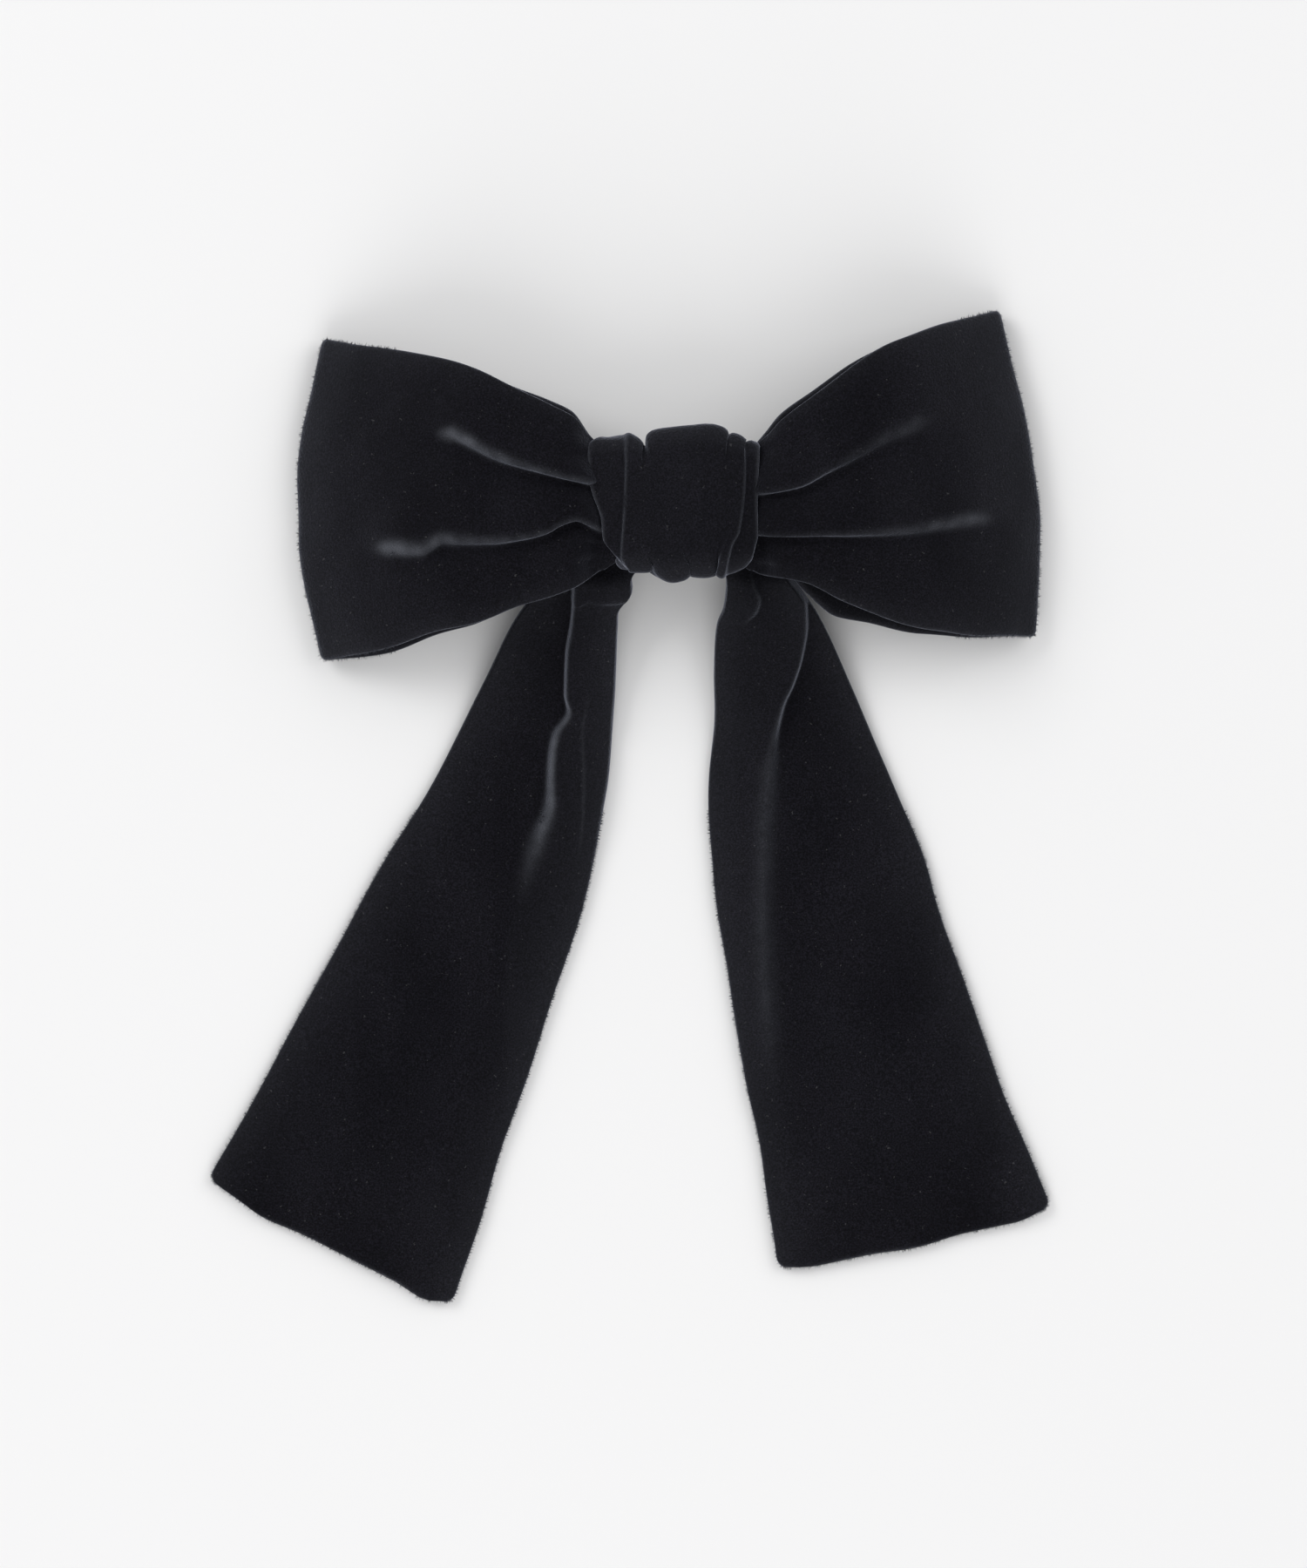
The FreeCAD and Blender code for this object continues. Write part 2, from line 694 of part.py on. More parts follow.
def right_tail():
    runs = [
        [(0.3, 10), (17, 10)],
        [(17, 10), (17, -8)],
        [(17, -8), (34.7, -32), (54.7, -76), (66.7, -114), (85.1, -161)],
        [(85.1, -161), (56, -168.6), (23.3, -175)],
        [(23.3, -175), (15.7, -130), (7.9, -84), (8.5, -40), (10.5, -18), (0.3, -10)],
        [(0.3, -10), (0.3, 10)],
    ]
    soft_piece("right_tail", plan_prism(runs).common(tail_strip()))


# ---------------------------------------------------------------- thread


def rounded_path(corners, radius, closed):
    """Straight runs joined by tangent arcs at every square corner, or at every inner one."""
    points = corners if not closed else corners[-1:] + corners + corners[:1]
    edges = []
    last = None
    for before, corner, after in zip(points, points[1:], points[2:]):
        inward = (corner - before).normalize()
        outward = (after - corner).normalize()
        start = corner - inward * radius
        end = corner + outward * radius
        middle = corner + (outward - inward).normalize() * radius * (math.sqrt(2) - 1)
        if last is not None:
            edges.append(Part.LineSegment(last, start).toShape())
        edges.append(Part.Arc(start, middle, end).toShape())
        last = end
    if closed:
        edges.append(Part.LineSegment(last, edges[0].Vertexes[0].Point).toShape())
    else:
        first = edges[0].Vertexes[0].Point
        edges.insert(0, Part.LineSegment(points[0], first).toShape())
        edges.append(Part.LineSegment(last, points[-1]).toShape())
    return Part.Wire(edges)


def thread_along(path):
    """A round thread swept along a path."""
    first = path.Edges[0]
    start = first.valueAt(first.FirstParameter)
    along = first.tangentAt(first.FirstParameter)
    section = Part.Wire(Part.makeCircle(size("thread_diameter") / 2, start, along))
    return path.makePipeShell([section], True, False)


def thread_turn(x, half_width, low, high):
    """One turn of thread round a flat bundle, in a plane across X."""
    sides = [(-half_width, low), (half_width, low), (half_width, high), (-half_width, high)]
    corners = [Vector(x, y, z) for y, z in sides]
    return thread_along(rounded_path(corners, size("thread_bend"), True))


def binding_thread():
    """Turns of thread that hold the gathered loops together inside the knot."""
    lift = size("thread_diameter") / 2 + size("glue_line")
    depth = size("binding_depth")
    half_width = size("neck_half_width") - depth + lift
    low = size("neck_bottom") + depth - lift
    high = size("neck_top") - depth + lift
    count = int(size("binding_turns"))
    places = [size("binding_pitch") * (k - (count - 1) / 2) for k in range(count)]
    turns = [thread_turn(x, half_width, low, high) for x in places]
    soft_piece("binding_thread", Part.Compound(turns))


def clip_lashing(name, side):
    """Three turns of thread round plate and pad at a sewing hole."""
    lift = size("thread_diameter") / 2 + size("glue_line")
    half_width = size("pad_width") / 2 + lift
    turns = []
    for k in (-1, 0, 1):
        x = size("sewing_x") + k * size("binding_pitch")
        low = value(height_on(PLATE_UNDER, x + lift)) - lift
        high = value(height_on(PAD_TOP, x - lift)) + lift
        turns.append(thread_turn(side * x, half_width, low, high))
    soft_piece(name, Part.Compound(turns))


def tail_stitches():
    """Stitches from the back of the tails over their top edge and up to the knot's back."""
    lift = size("thread_diameter") / 2 + size("glue_line")
    low = size("tail_top_height") - lift
    high = size("knot_back") - size("glue_line")
    start, top = size("tail_top_y") - 2.4, size("tail_top_y") + lift
    stitches = []
    for x in (-14, -9.5, -5, 5, 9.5, 14):
        corners = [Vector(x, start, low), Vector(x, top, low), Vector(x, top, high)]
        path = rounded_path(corners, size("thread_bend"), False)
        stitches.append(thread_along(path))
    soft_piece("tail_stitches", Part.Compound(stitches))


def knot_seam_stitches():
    """Slanted hand stitches that close the wrap on the back of the knot."""
    radius = size("thread_diameter") / 2
    height = size("knot_back") - radius - size("glue_line")
    count = int(size("seam_stitches"))
    pitch = 2 * (size("knot_half_length") - size("seam_end_margin")) / (count - 1)
    slant = Vector(0.9, 1.6, 0)
    stitches = []
    for k in range(count):
        middle = Vector(pitch * (k - (count - 1) / 2), size("seam_y"), height)
        stitches.append(Part.makeCylinder(radius, 2 * slant.Length, middle - slant, slant))
    soft_piece("knot_seam_stitches", Part.Compound(stitches))


# ---------------------------------------------------------------- the whole bow


def write_pieces():
    """Check every object of the document, then write each piece to its own file."""
    doc.recompute()
    for item in doc.Objects:
        if "Invalid" in item.State or "Error" in item.State:
            raise RuntimeError(f"{item.Label} failed")
    kinds = ("PartDesign::Body", "Part::Feature")
    pieces = [item for item in doc.Objects if item.TypeId in kinds]
    for piece in pieces:
        if piece.Shape.isNull() or not piece.Shape.isValid():
            raise RuntimeError(f"{piece.Label} has no valid shape")
    os.makedirs("parts", exist_ok=True)
    for piece in pieces:
        piece.Shape.exportStep(f"parts/{piece.Label}.step")
        box = piece.Shape.BoundBox
        print(f"{piece.Label:22s} {piece.Shape.Volume:9.1f} mm3", box)


left_loop()
right_loop()
left_tail()
right_tail()
knot_wrap()
binding_thread()
tail_stitches()
knot_seam_stitches()
back_pad()
clip_lashing("clip_lashing_left", -1)
clip_lashing("clip_lashing_right", 1)
clip_base_plate()
clip_tension_spring()
clip_clasp_arm()
clip_hinge_pin()
catch_bracket()
catch_rivet()
catch_ear("catch_ear_top", 1)
catch_ear("catch_ear_bottom", -1)
write_pieces()
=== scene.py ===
import math

import bpy
import numpy as np
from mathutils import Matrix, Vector


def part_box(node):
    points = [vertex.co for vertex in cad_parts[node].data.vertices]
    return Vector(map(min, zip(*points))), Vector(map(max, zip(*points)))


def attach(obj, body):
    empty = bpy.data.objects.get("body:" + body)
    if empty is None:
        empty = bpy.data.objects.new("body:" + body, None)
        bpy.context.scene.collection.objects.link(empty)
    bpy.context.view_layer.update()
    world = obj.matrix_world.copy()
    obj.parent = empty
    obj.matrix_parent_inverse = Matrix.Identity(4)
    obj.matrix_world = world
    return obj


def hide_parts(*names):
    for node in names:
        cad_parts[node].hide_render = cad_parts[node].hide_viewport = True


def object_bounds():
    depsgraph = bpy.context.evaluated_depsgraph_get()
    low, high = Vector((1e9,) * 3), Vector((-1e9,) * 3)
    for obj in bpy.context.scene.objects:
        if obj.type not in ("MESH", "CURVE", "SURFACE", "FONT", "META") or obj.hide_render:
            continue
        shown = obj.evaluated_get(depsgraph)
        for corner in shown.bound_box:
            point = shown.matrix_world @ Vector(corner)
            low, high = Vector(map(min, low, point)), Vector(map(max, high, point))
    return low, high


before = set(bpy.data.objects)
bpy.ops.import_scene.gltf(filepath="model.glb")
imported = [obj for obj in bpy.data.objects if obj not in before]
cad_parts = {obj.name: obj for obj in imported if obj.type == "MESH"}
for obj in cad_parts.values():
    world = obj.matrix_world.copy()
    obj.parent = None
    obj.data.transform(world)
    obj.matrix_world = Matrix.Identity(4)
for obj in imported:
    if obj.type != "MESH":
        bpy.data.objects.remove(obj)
cad_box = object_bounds()

# Shapes are worked out in millimetres, from the middle of the knot in x and y and from the
# table in z, and put in place in metres.
MM = 0.001
knot_low, knot_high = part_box("knot_wrap")
ORIGIN = np.array([(knot_low.x + knot_high.x) / 2, (knot_low.y + knot_high.y) / 2, 0.0])
KNOT_BACK, KNOT_TOP = knot_low.z / MM, knot_high.z / MM
KNOT_HALF_LENGTH = (knot_high.x - knot_low.x) / 2 / MM
TAIL_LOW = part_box("left_tail")[0].z / MM


# ---------------------------------------------------------------- curves and fields


def lengths_along(path):
    """The length of a path of points up to each of them."""
    steps = np.linalg.norm(np.diff(path, axis=0), axis=1)
    return np.concatenate([[0], np.cumsum(steps)])


def smooth_curve(points, count):
    """Evenly spaced points on a Catmull-Rom curve through the given points."""
    p = np.array(points, float)
    ends = np.vstack([2 * p[0] - p[1], p, 2 * p[-1] - p[-2]])
    dense = []
    for a, b, c, d in zip(ends, ends[1:], ends[2:], ends[3:]):
        for t in np.linspace(0, 1, 24, endpoint=False):
            dense.append(0.5 * (2 * b + (c - a) * t + (2 * a - 5 * b + 4 * c - d) * t**2
                                + (3 * b - a - 3 * c + d) * t**3))
    dense.append(p[-1])
    dense = np.array(dense)
    length = lengths_along(dense)
    even = np.linspace(0, length[-1], count)
    return np.stack([np.interp(even, length, dense[:, k]) for k in range(p.shape[1])], axis=1)


def along(points, places):
    """The second coordinate of a smooth curve through the points, looked up at places of the
    first. It never swings past its points, and is level beyond its ends."""
    p = np.array(points, float)
    x, y = p[np.argsort(p[:, 0])].T
    run = np.diff(x)
    grade = np.diff(y) / run
    slope = np.concatenate([grade[:1], np.zeros(len(x) - 2), grade[-1:]])
    same_way = np.flatnonzero(grade[:-1] * grade[1:] > 0)
    before, after = grade[same_way], grade[same_way + 1]
    slope[same_way + 1] = 2 * before * after / (before + after)
    k = np.clip(np.searchsorted(x, places) - 1, 0, len(run) - 1)
    t = np.clip((places - x[k]) / run[k], 0, 1)
    return (y[k] * (1 + 2 * t) * (1 - t) ** 2 + slope[k] * run[k] * t * (1 - t) ** 2
            + y[k + 1] * t**2 * (3 - 2 * t) - slope[k + 1] * run[k] * t**2 * (1 - t))


def smoothstep(low, high, x):
    """From 0 at low to 1 at high, level at both ends."""
    t = np.clip((x - low) / (high - low), 0, 1)
    return t * t * (3 - 2 * t)


def bump(x, width):
    """A bell of height 1 about x = 0."""
    return np.exp(-((x / width) ** 2))


def ripple(x, y, seed, size):
    """A soft uneven field between about -1 and 1, from a few crossed waves."""
    random = np.random.default_rng(seed)
    total = np.zeros_like(x)
    for _ in range(7):
        angle = random.uniform(0, math.pi)
        wave = random.uniform(0.7, 1.6) / size
        phase = random.uniform(0, 2 * math.pi)
        total += np.sin((x * math.cos(angle) + y * math.sin(angle)) * wave * 2 * math.pi + phase)
    return total / 4


# ---------------------------------------------------------------- meshes

ROLL = 1.3  # the rolled edge's width, in half thicknesses of the cloth
SHOULDER = 2.5  # how far from an edge the relief reaches its full height
FIBRE_ROOT = 0.15
FIBRE_LENGTH = (0.4, 1.1)
FIBRE_RADIUS = 0.08


def make_object(name, vertices, faces, material):
    """A smooth-shaded mesh in place, from vertices in millimetres."""
    mesh = bpy.data.meshes.new(name)
    mesh.from_pydata((np.asarray(vertices) * MM + ORIGIN).tolist(), [], faces)
    mesh.validate()
    mesh.update()
    obj = bpy.data.objects.new(name, mesh)
    bpy.context.scene.collection.objects.link(obj)
    mesh.materials.append(material)
    mesh.shade_smooth()
    return obj


def across_places(width, count):
    """Places across a cloth from 0 to 1, close together at the rolled edges."""
    edge = np.array([0, 0.1, 0.3, 0.6, 1.0, 1.5]) / width
    middle = np.linspace(2.2 / width, 1 - 2.2 / width, count)
    return np.concatenate([edge, middle, 1 - edge[::-1]])


def grid_normals(mid, closed):
    """Unit normals of a grid of points. closed says whether its last row joins its first."""
    if closed:
        run = np.roll(mid, -1, axis=0) - np.roll(mid, 1, axis=0)
    else:
        run = np.gradient(mid, axis=0)
    side = np.gradient(mid, axis=1)
    normal = np.cross(run, side)
    return normal / np.maximum(np.linalg.norm(normal, axis=2, keepdims=True), 1e-9)


def tube_faces(rows, columns, around, closed):
    """Faces of a tube of rows of points, the first columns of each row on its front. An open
    tube gets flat ends, where each front point is joined to the back point behind it."""
    faces = []
    last = rows if closed else rows - 1
    for i in range(last):
        following = (i + 1) % rows
        for j in range(around):
            beside = (j + 1) % around
            faces.append((i * around + j, following * around + j,
                          following * around + beside, i * around + beside))
    if closed:
        return faces
    for i in (0, rows - 1):
        cap = [(i * around + j, i * around + j + 1, i * around + (around - j - 1) % around,
                i * around + (around - j) % around) for j in range(1, columns - 2)]
        cap.append((i * around, i * around + 1, i * around + around - 1))
        edge = columns - 1
        cap.append((i * around + edge - 1, i * around + edge, i * around + edge + 1))
        faces += [face[::-1] for face in cap] if i == 0 else cap
    return faces


def cloth_tube(name, mid, places, width, half, material, closed=False, hems=(False, False),
               relief=0.0, painted_sheen=0.0, inner_painted_sheen=0.0):
    """A flattened tube of cloth round a grid of points: two layers joined by rolled edges.
    hems says which ends are sewn shut; the others stay hidden inside the knot. relief raises
    the outer layer alone, and dies away at the rolled edges and hems. The last two arguments are
    painted sheen and painted highlights on the outer and inner layers, from 0 to 1."""
    rows, columns = mid.shape[:2]
    from_edge = np.minimum(places, 1 - places) * width
    roll = np.clip(from_edge / (ROLL * half), 0, 1)
    thick = half * np.sqrt(1 - (1 - roll) ** 2)
    thick = np.repeat(thick[None, :], rows, axis=0)
    shoulder = np.clip(from_edge / SHOULDER, 0, 1)
    relief = relief * np.sqrt(1 - (1 - shoulder) ** 2)[None, :]
    length = lengths_along(mid[:, columns // 2])
    for end, sewn in enumerate(hems):
        if sewn:
            gap = length if end == 0 else length[-1] - length
            roll = np.clip(gap / (ROLL * half), 0, 1)
            thick *= np.sqrt(1 - (1 - roll) ** 2)[:, None]
            shoulder = np.clip(gap / SHOULDER, 0, 1)
            relief = relief * np.sqrt(1 - (1 - shoulder) ** 2)[:, None]
    normal = grid_normals(mid, closed)
    front = mid + normal * (thick + relief)[..., None]
    back = mid - normal * thick[..., None]
    ring = np.concatenate([front, back[:, -2:0:-1]], axis=1)
    around = ring.shape[1]
    faces = tube_faces(rows, columns, around, closed)
    obj = make_object(name, ring.reshape(-1, 3), faces, material)
    # Painted sheen and highlights, kept on each point; the velvet lightens its colour by them.
    painted_sheen_values = np.zeros((rows, around))
    painted_sheen_values[:, :columns] = painted_sheen
    painted_sheen_values[:, columns:] = (inner_painted_sheen * np.ones((rows, columns)))[:, -2:0:-1]
    attribute = obj.data.attributes.new("painted_sheen", "FLOAT", "POINT")
    attribute.data.foreach_set("value", np.clip(painted_sheen_values, 0, 1).ravel())
    return obj


def pile_fibres(cloth, chosen, count, seed):
    """Loose pile that stands out from the outline of a cloth: thin closed tapered tufts, rooted
    in its edge. chosen says, from places in millimetres, where on the cloth they may grow."""
    vertices = cloth.data.vertices
    places = np.empty(3 * len(vertices))
    normals = np.empty(3 * len(vertices))
    vertices.foreach_get("co", places)
    cloth.data.vertex_normals.foreach_get("vector", normals)
    places = (places.reshape(-1, 3) - ORIGIN) / MM
    normals = normals.reshape(-1, 3)
    outline = np.flatnonzero((np.abs(normals[:, 2]) < 0.6) & chosen(places))
    random = np.random.default_rng(seed)
    picked = random.choice(outline, count)
    lean = normals[picked] + random.normal(0, 0.45, (count, 3))
    lean = lean / np.linalg.norm(lean, axis=1, keepdims=True)
    beside = np.cross(lean, random.normal(0, 1, (count, 3)))
    beside = beside / np.linalg.norm(beside, axis=1, keepdims=True)
    third = np.cross(lean, beside)
    root = places[picked] - FIBRE_ROOT * normals[picked]
    long = random.uniform(*FIBRE_LENGTH, (count, 1))
    corners = [root + FIBRE_RADIUS * (beside * math.cos(turn) + third * math.sin(turn))
               for turn in (0, 2 * math.pi / 3, 4 * math.pi / 3)]
    tufts = np.stack([*corners, root + lean * long], axis=1).reshape(-1, 3)
    faces = []
    for first in range(0, 4 * count, 4):
        faces += [(first, first + 1, first + 3), (first + 1, first + 2, first + 3),
                  (first + 2, first, first + 3), (first + 2, first + 1, first)]
    fibres = make_object(cloth.name + "_pile", tufts, faces, VELVET)
    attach(fibres, "bow")
    return fibres


# ---------------------------------------------------------------- materials

# The light colour that painted sheen and highlights blend the velvet towards.
PAINTED_SHEEN_COLOUR = (0.105, 0.110, 0.126, 1)


def new_material(name):
    """A node material, its tree, and its shader."""
    material = bpy.data.materials.new(name)
    material.use_nodes = True
    tree = material.node_tree
    return material, tree, tree.nodes["Principled BSDF"]


def texture(tree, kind, scale, stretch=(1, 1, 1), **settings):
    """A procedural texture in the object's own coordinates, in metres. stretch multiplies the
    scale along each axis."""
    place = tree.nodes.new("ShaderNodeTexCoord")
    mapping = tree.nodes.new("ShaderNodeMapping")
    mapping.inputs["Scale"].default_value = [scale * s for s in stretch]
    node = tree.nodes.new(kind)
    node.inputs["Scale"].default_value = 1
    for key, setting in settings.items():
        node.inputs[key].default_value = setting
    tree.links.new(place.outputs["Object"], mapping.inputs["Vector"])
    tree.links.new(mapping.outputs["Vector"], node.inputs["Vector"])
    return node


def ramp(tree, source, stops):
    """A colour ramp with stops of (position, colour or grey value)."""
    node = tree.nodes.new("ShaderNodeValToRGB")
    for k, (position, colour) in enumerate(stops):
        element = node.color_ramp.elements[k] if k < 2 else node.color_ramp.elements.new(position)
        element.position = position
        element.color = (*colour, 1) if hasattr(colour, "__len__") else (colour,) * 3 + (1,)
    tree.links.new(source, node.inputs["Fac"])
    return node.outputs["Color"]


def bump_chain(tree, shader, layers):
    """Bump nodes one after another: (height output, strength, distance in metres)."""
    normal = None
    for height, strength, distance in layers:
        node = tree.nodes.new("ShaderNodeBump")
        node.inputs["Strength"].default_value = strength
        node.inputs["Distance"].default_value = distance
        tree.links.new(height, node.inputs["Height"])
        if normal:
            tree.links.new(normal, node.inputs["Normal"])
        normal = node.outputs["Normal"]
    tree.links.new(normal, shader.inputs["Normal"])


def mix_colours(tree, factor, first, second, blend="MIX"):
    """Two colours mixed; each input is a socket to link or a value to set."""
    node = tree.nodes.new("ShaderNodeMix")
    node.data_type = "RGBA"
    node.blend_type = blend
    for key, given in (("Factor", factor), ("A", first), ("B", second)):
        if isinstance(given, bpy.types.NodeSocket):
            tree.links.new(given, node.inputs[key])
        else:
            node.inputs[key].default_value = given
    return node.outputs["Result"]


def velvet_material():
    """Black cotton velvet: brushed patches, fine tufts, and painted sheen and highlights mixed into
    its colour.
    """
    material, tree, shader = new_material("black_velvet")
    brushed = texture(tree, "ShaderNodeTexNoise", 55, (1, 0.5, 1), Detail=3, Roughness=0.5)
    pile = texture(tree, "ShaderNodeTexNoise", 2600, Detail=3, Roughness=0.7)
    tufts = texture(tree, "ShaderNodeTexVoronoi", 1500)
    lint = texture(tree, "ShaderNodeTexNoise", 900, Detail=2, Roughness=0.8)
    tone = ramp(tree, brushed.outputs["Fac"], [
        (0.3, (0.0032, 0.0030, 0.0045)),
        (0.75, (0.0059, 0.0056, 0.0080)),
    ])
    specks = ramp(tree, pile.outputs["Fac"], [(0.42, 0.5), (0.80, 3.2)])
    dust = ramp(tree, lint.outputs["Fac"], [(0.68, 0.0), (0.74, 0.03)])
    tone = mix_colours(tree, 1, tone, specks, "MULTIPLY")
    tone = mix_colours(tree, 1, tone, dust, "ADD")
    # Painted sheen and highlights: a point attribute, made patchy by the pile noise, blends the
    # colour towards the painted sheen colour.
    painted_sheen = tree.nodes.new("ShaderNodeAttribute")
    painted_sheen.attribute_name = "painted_sheen"
    uneven = ramp(tree, pile.outputs["Fac"], [(0.3, 0.55), (0.75, 1.0)])
    amount = tree.nodes.new("ShaderNodeMath")
    amount.operation = "MULTIPLY"
    tree.links.new(painted_sheen.outputs["Fac"], amount.inputs[0])
    tree.links.new(uneven, amount.inputs[1])
    tone = mix_colours(tree, amount.outputs["Value"], tone, PAINTED_SHEEN_COLOUR)
    tree.links.new(tone, shader.inputs["Base Color"])
    rough = ramp(tree, brushed.outputs["Fac"], [(0.3, 0.80), (0.75, 0.68)])
    tree.links.new(rough, shader.inputs["Roughness"])
    shader.inputs["Specular IOR Level"].default_value = 0.05
    shader.inputs["Sheen Weight"].default_value = 0.62
    shader.inputs["Sheen Roughness"].default_value = 0.33
    shader.inputs["Sheen Tint"].default_value = (0.66, 0.70, 0.84, 1)
    bump_chain(tree, shader, [
        (brushed.outputs["Fac"], 0.35, 0.0008),
        (tufts.outputs["Distance"], 0.35, 0.0002),
        (pile.outputs["Fac"], 0.55, 0.00018),
    ])
    return material


def felt_material():
    """Matted black felt: clumps with fine fibres over them."""
    material, tree, shader = new_material("black_felt")
    fibre = texture(tree, "ShaderNodeTexNoise", 1400, (1, 3, 1), Detail=6, Roughness=0.75)
    clump = texture(tree, "ShaderNodeTexNoise", 260, Detail=3, Roughness=0.6)
    colour = ramp(tree, fibre.outputs["Fac"], [(0.3, (0.006, 0.006, 0.007)),
                                               (0.8, (0.035, 0.035, 0.038))])
    tree.links.new(colour, shader.inputs["Base Color"])
    rough = ramp(tree, clump.outputs["Fac"], [(0.3, 1.0), (0.8, 0.85)])
    tree.links.new(rough, shader.inputs["Roughness"])
    shader.inputs["Specular IOR Level"].default_value = 0.15
    shader.inputs["Sheen Weight"].default_value = 0.3
    shader.inputs["Sheen Roughness"].default_value = 0.5
    bump_chain(tree, shader, [(clump.outputs["Fac"], 0.5, 0.0004),
                              (fibre.outputs["Fac"], 0.8, 0.00025)])
    return material


def thread_material():
    """Black polyester thread with its twist and a little fuzz."""
    material, tree, shader = new_material("polyester_thread")
    twist = texture(tree, "ShaderNodeTexWave", 900, Distortion=1.5, Detail=2)
    fuzz = texture(tree, "ShaderNodeTexNoise", 4000, Detail=3)
    colour = ramp(tree, twist.outputs["Fac"], [(0.2, (0.008, 0.008, 0.010)),
                                               (0.9, (0.030, 0.030, 0.034))])
    tree.links.new(colour, shader.inputs["Base Color"])
    rough = ramp(tree, fuzz.outputs["Fac"], [(0.3, 0.45), (0.8, 0.7)])
    tree.links.new(rough, shader.inputs["Roughness"])
    shader.inputs["Sheen Weight"].default_value = 0.2
    bump_chain(tree, shader, [(twist.outputs["Fac"], 0.7, 0.0002),
                              (fuzz.outputs["Fac"], 0.4, 0.00008)])
    return material


def steel_material(name, tone, roughness, grain):
    """Stamped strip steel with its rolling grain and a few smudges."""
    material, tree, shader = new_material(name)
    shader.inputs["Metallic"].default_value = 1
    lines = texture(tree, "ShaderNodeTexNoise", 300, (1, 14, 14), Detail=4, Roughness=0.6)
    smudge = texture(tree, "ShaderNodeTexNoise", 120, Detail=4, Roughness=0.6)
    colour = ramp(tree, smudge.outputs["Fac"], [
        (0.3, tuple(tone * k for k in (0.93, 0.93, 0.95))),
        (0.75, (tone, tone, tone * 1.02)),
    ])
    tree.links.new(colour, shader.inputs["Base Color"])
    rough = ramp(tree, smudge.outputs["Fac"], [(0.3, roughness), (0.8, roughness + 0.16)])
    tree.links.new(rough, shader.inputs["Roughness"])
    bump_chain(tree, shader, [(lines.outputs["Fac"], grain, 0.00006),
                              (smudge.outputs["Fac"], 0.1, 0.0001)])
    return material


VELVET = velvet_material()
FELT = felt_material()
THREAD = thread_material()
PLATED = steel_material("plated_steel", 0.62, 0.16, 0.25)
SPRING = steel_material("spring_steel", 0.46, 0.3, 0.5)


# ---------------------------------------------------------------- loops

LOOP_WIDTH = 73.5
LOOP_HALF = 1.15
LOOP_START = 11.0
LOOP_REACH = 87.0 + LOOP_HALF
LOOP_BEND = 1.6  # how much wider a pleat's drop is in the middle of the cloth than on its face
LOOP_ROWS, LOOP_COLUMNS = 260, 150
LOOP_FIBRES = 2200
LOOP_FIBRES_FROM = 64.0


def loop_profile(rows):
    """The loop's middle line seen from its edge: out along the front, round the fold and back."""
    return smooth_curve([
        (11, 25.4), (15, 25.7), (18, 26.7), (21, 28.0), (25, 28.9), (31, 29.5), (38, 29.6),
        (46, 28.8), (54, 26.5), (62, 23), (70, 18.3), (78, 12.9), (84, 8.4), (87, 5.4),
        (87, 3.4), (84, 2.0), (78, 1.5), (70, 1.75), (62, 3.1), (52, 6.9), (42, 12.3),
        (34, 16.5), (27, 20.0), (22, 22.0), (18, 22.7), (11, 22.8),
    ], rows)


def beside_line(x, y, line, side):
    """How far each point lies to one side of a line of (x, y) points, and how far along it."""
    points = np.array(line, float)
    run, rise = points[-1] - points[0]
    away = (y - along(points, x)) * side / math.hypot(1, rise / run)
    return away, np.clip((x - points[0, 0]) / run, 0, 1)


def pleat(x, y, line, height, width, side, soft=0.0):
    """A pleat along a line of (x, y) points. On one side of the line the cloth stands high and
    falls off slowly; at the line it drops steeply to the other side. Height and width are given
    at both ends of the line, and soft widens the drop."""
    away, part = beside_line(x, y, line, side)
    high = np.interp(part, [0, 1], height)
    wide = np.interp(part**1.5, [0, 1], width) + soft
    fade = 1 - smoothstep(line[-1][0] - 3, line[-1][0] + 9, x)
    drop = 0.5 * (1 + np.tanh(away / wide))
    crest = drop * np.exp(-np.clip(away, 0, None) / 7.0)
    foot = (1 - drop) * bump(away, 5.0)
    return high * fade * (crest - 0.45 * foot)


def painted_crest_highlight(x, y, line, width, side, shine):
    """A painted highlight on a pleat's crest: a thin light line that spreads and brightens, up to
    shine, where the pleat runs out."""
    away, part = beside_line(x, y, line, side)
    wide = np.interp(part**1.5, [0, 1], width)
    fade = 1 - smoothstep(line[-1][0] - 2, line[-1][0] + 5, x)
    patchy = 1 + 0.35 * ripple(x, y, 5, 5)
    spread = 0.22 + 0.75 * wide
    return shine * (0.33 + 0.67 * part**4) * fade * patchy * bump(away - 0.4 * wide, spread)


def loop_grid(profile, places, edges, fold):
    """The smooth loop. Gives x and y from the knot, z from the profile, how far each row is on
    the front layer, from 0 to 1, and how far out the fold is across the cloth."""
    share = (profile[:, 0] - LOOP_START) / (LOOP_REACH - LOOP_START)
    turn = np.argmax(profile[:, 0])
    front = 1 - smoothstep(turn - 16, turn + 16, np.arange(LOOP_ROWS))
    front_top, front_bottom, back_top, back_bottom = edges
    at_top = LOOP_START + share * (fold[0][0] - LOOP_START)
    at_bottom = LOOP_START + share * (fold[-1][0] - LOOP_START)
    top = along(front_top, at_top) * front + along(back_top, at_top) * (1 - front)
    bottom = along(front_bottom, at_bottom) * front + along(back_bottom, at_bottom) * (1 - front)
    across = places[None, :]
    y = bottom[:, None] + (top - bottom)[:, None] * across
    fold_y = fold[-1][1] + (fold[0][1] - fold[-1][1]) * across
    fold_x = along([(y, x) for x, y in fold], fold_y)
    x = LOOP_START + share[:, None] * (fold_x - LOOP_START)
    z = np.repeat(profile[:, 1][:, None], len(places), axis=1)
    return x, y, z, front[:, None], fold_x


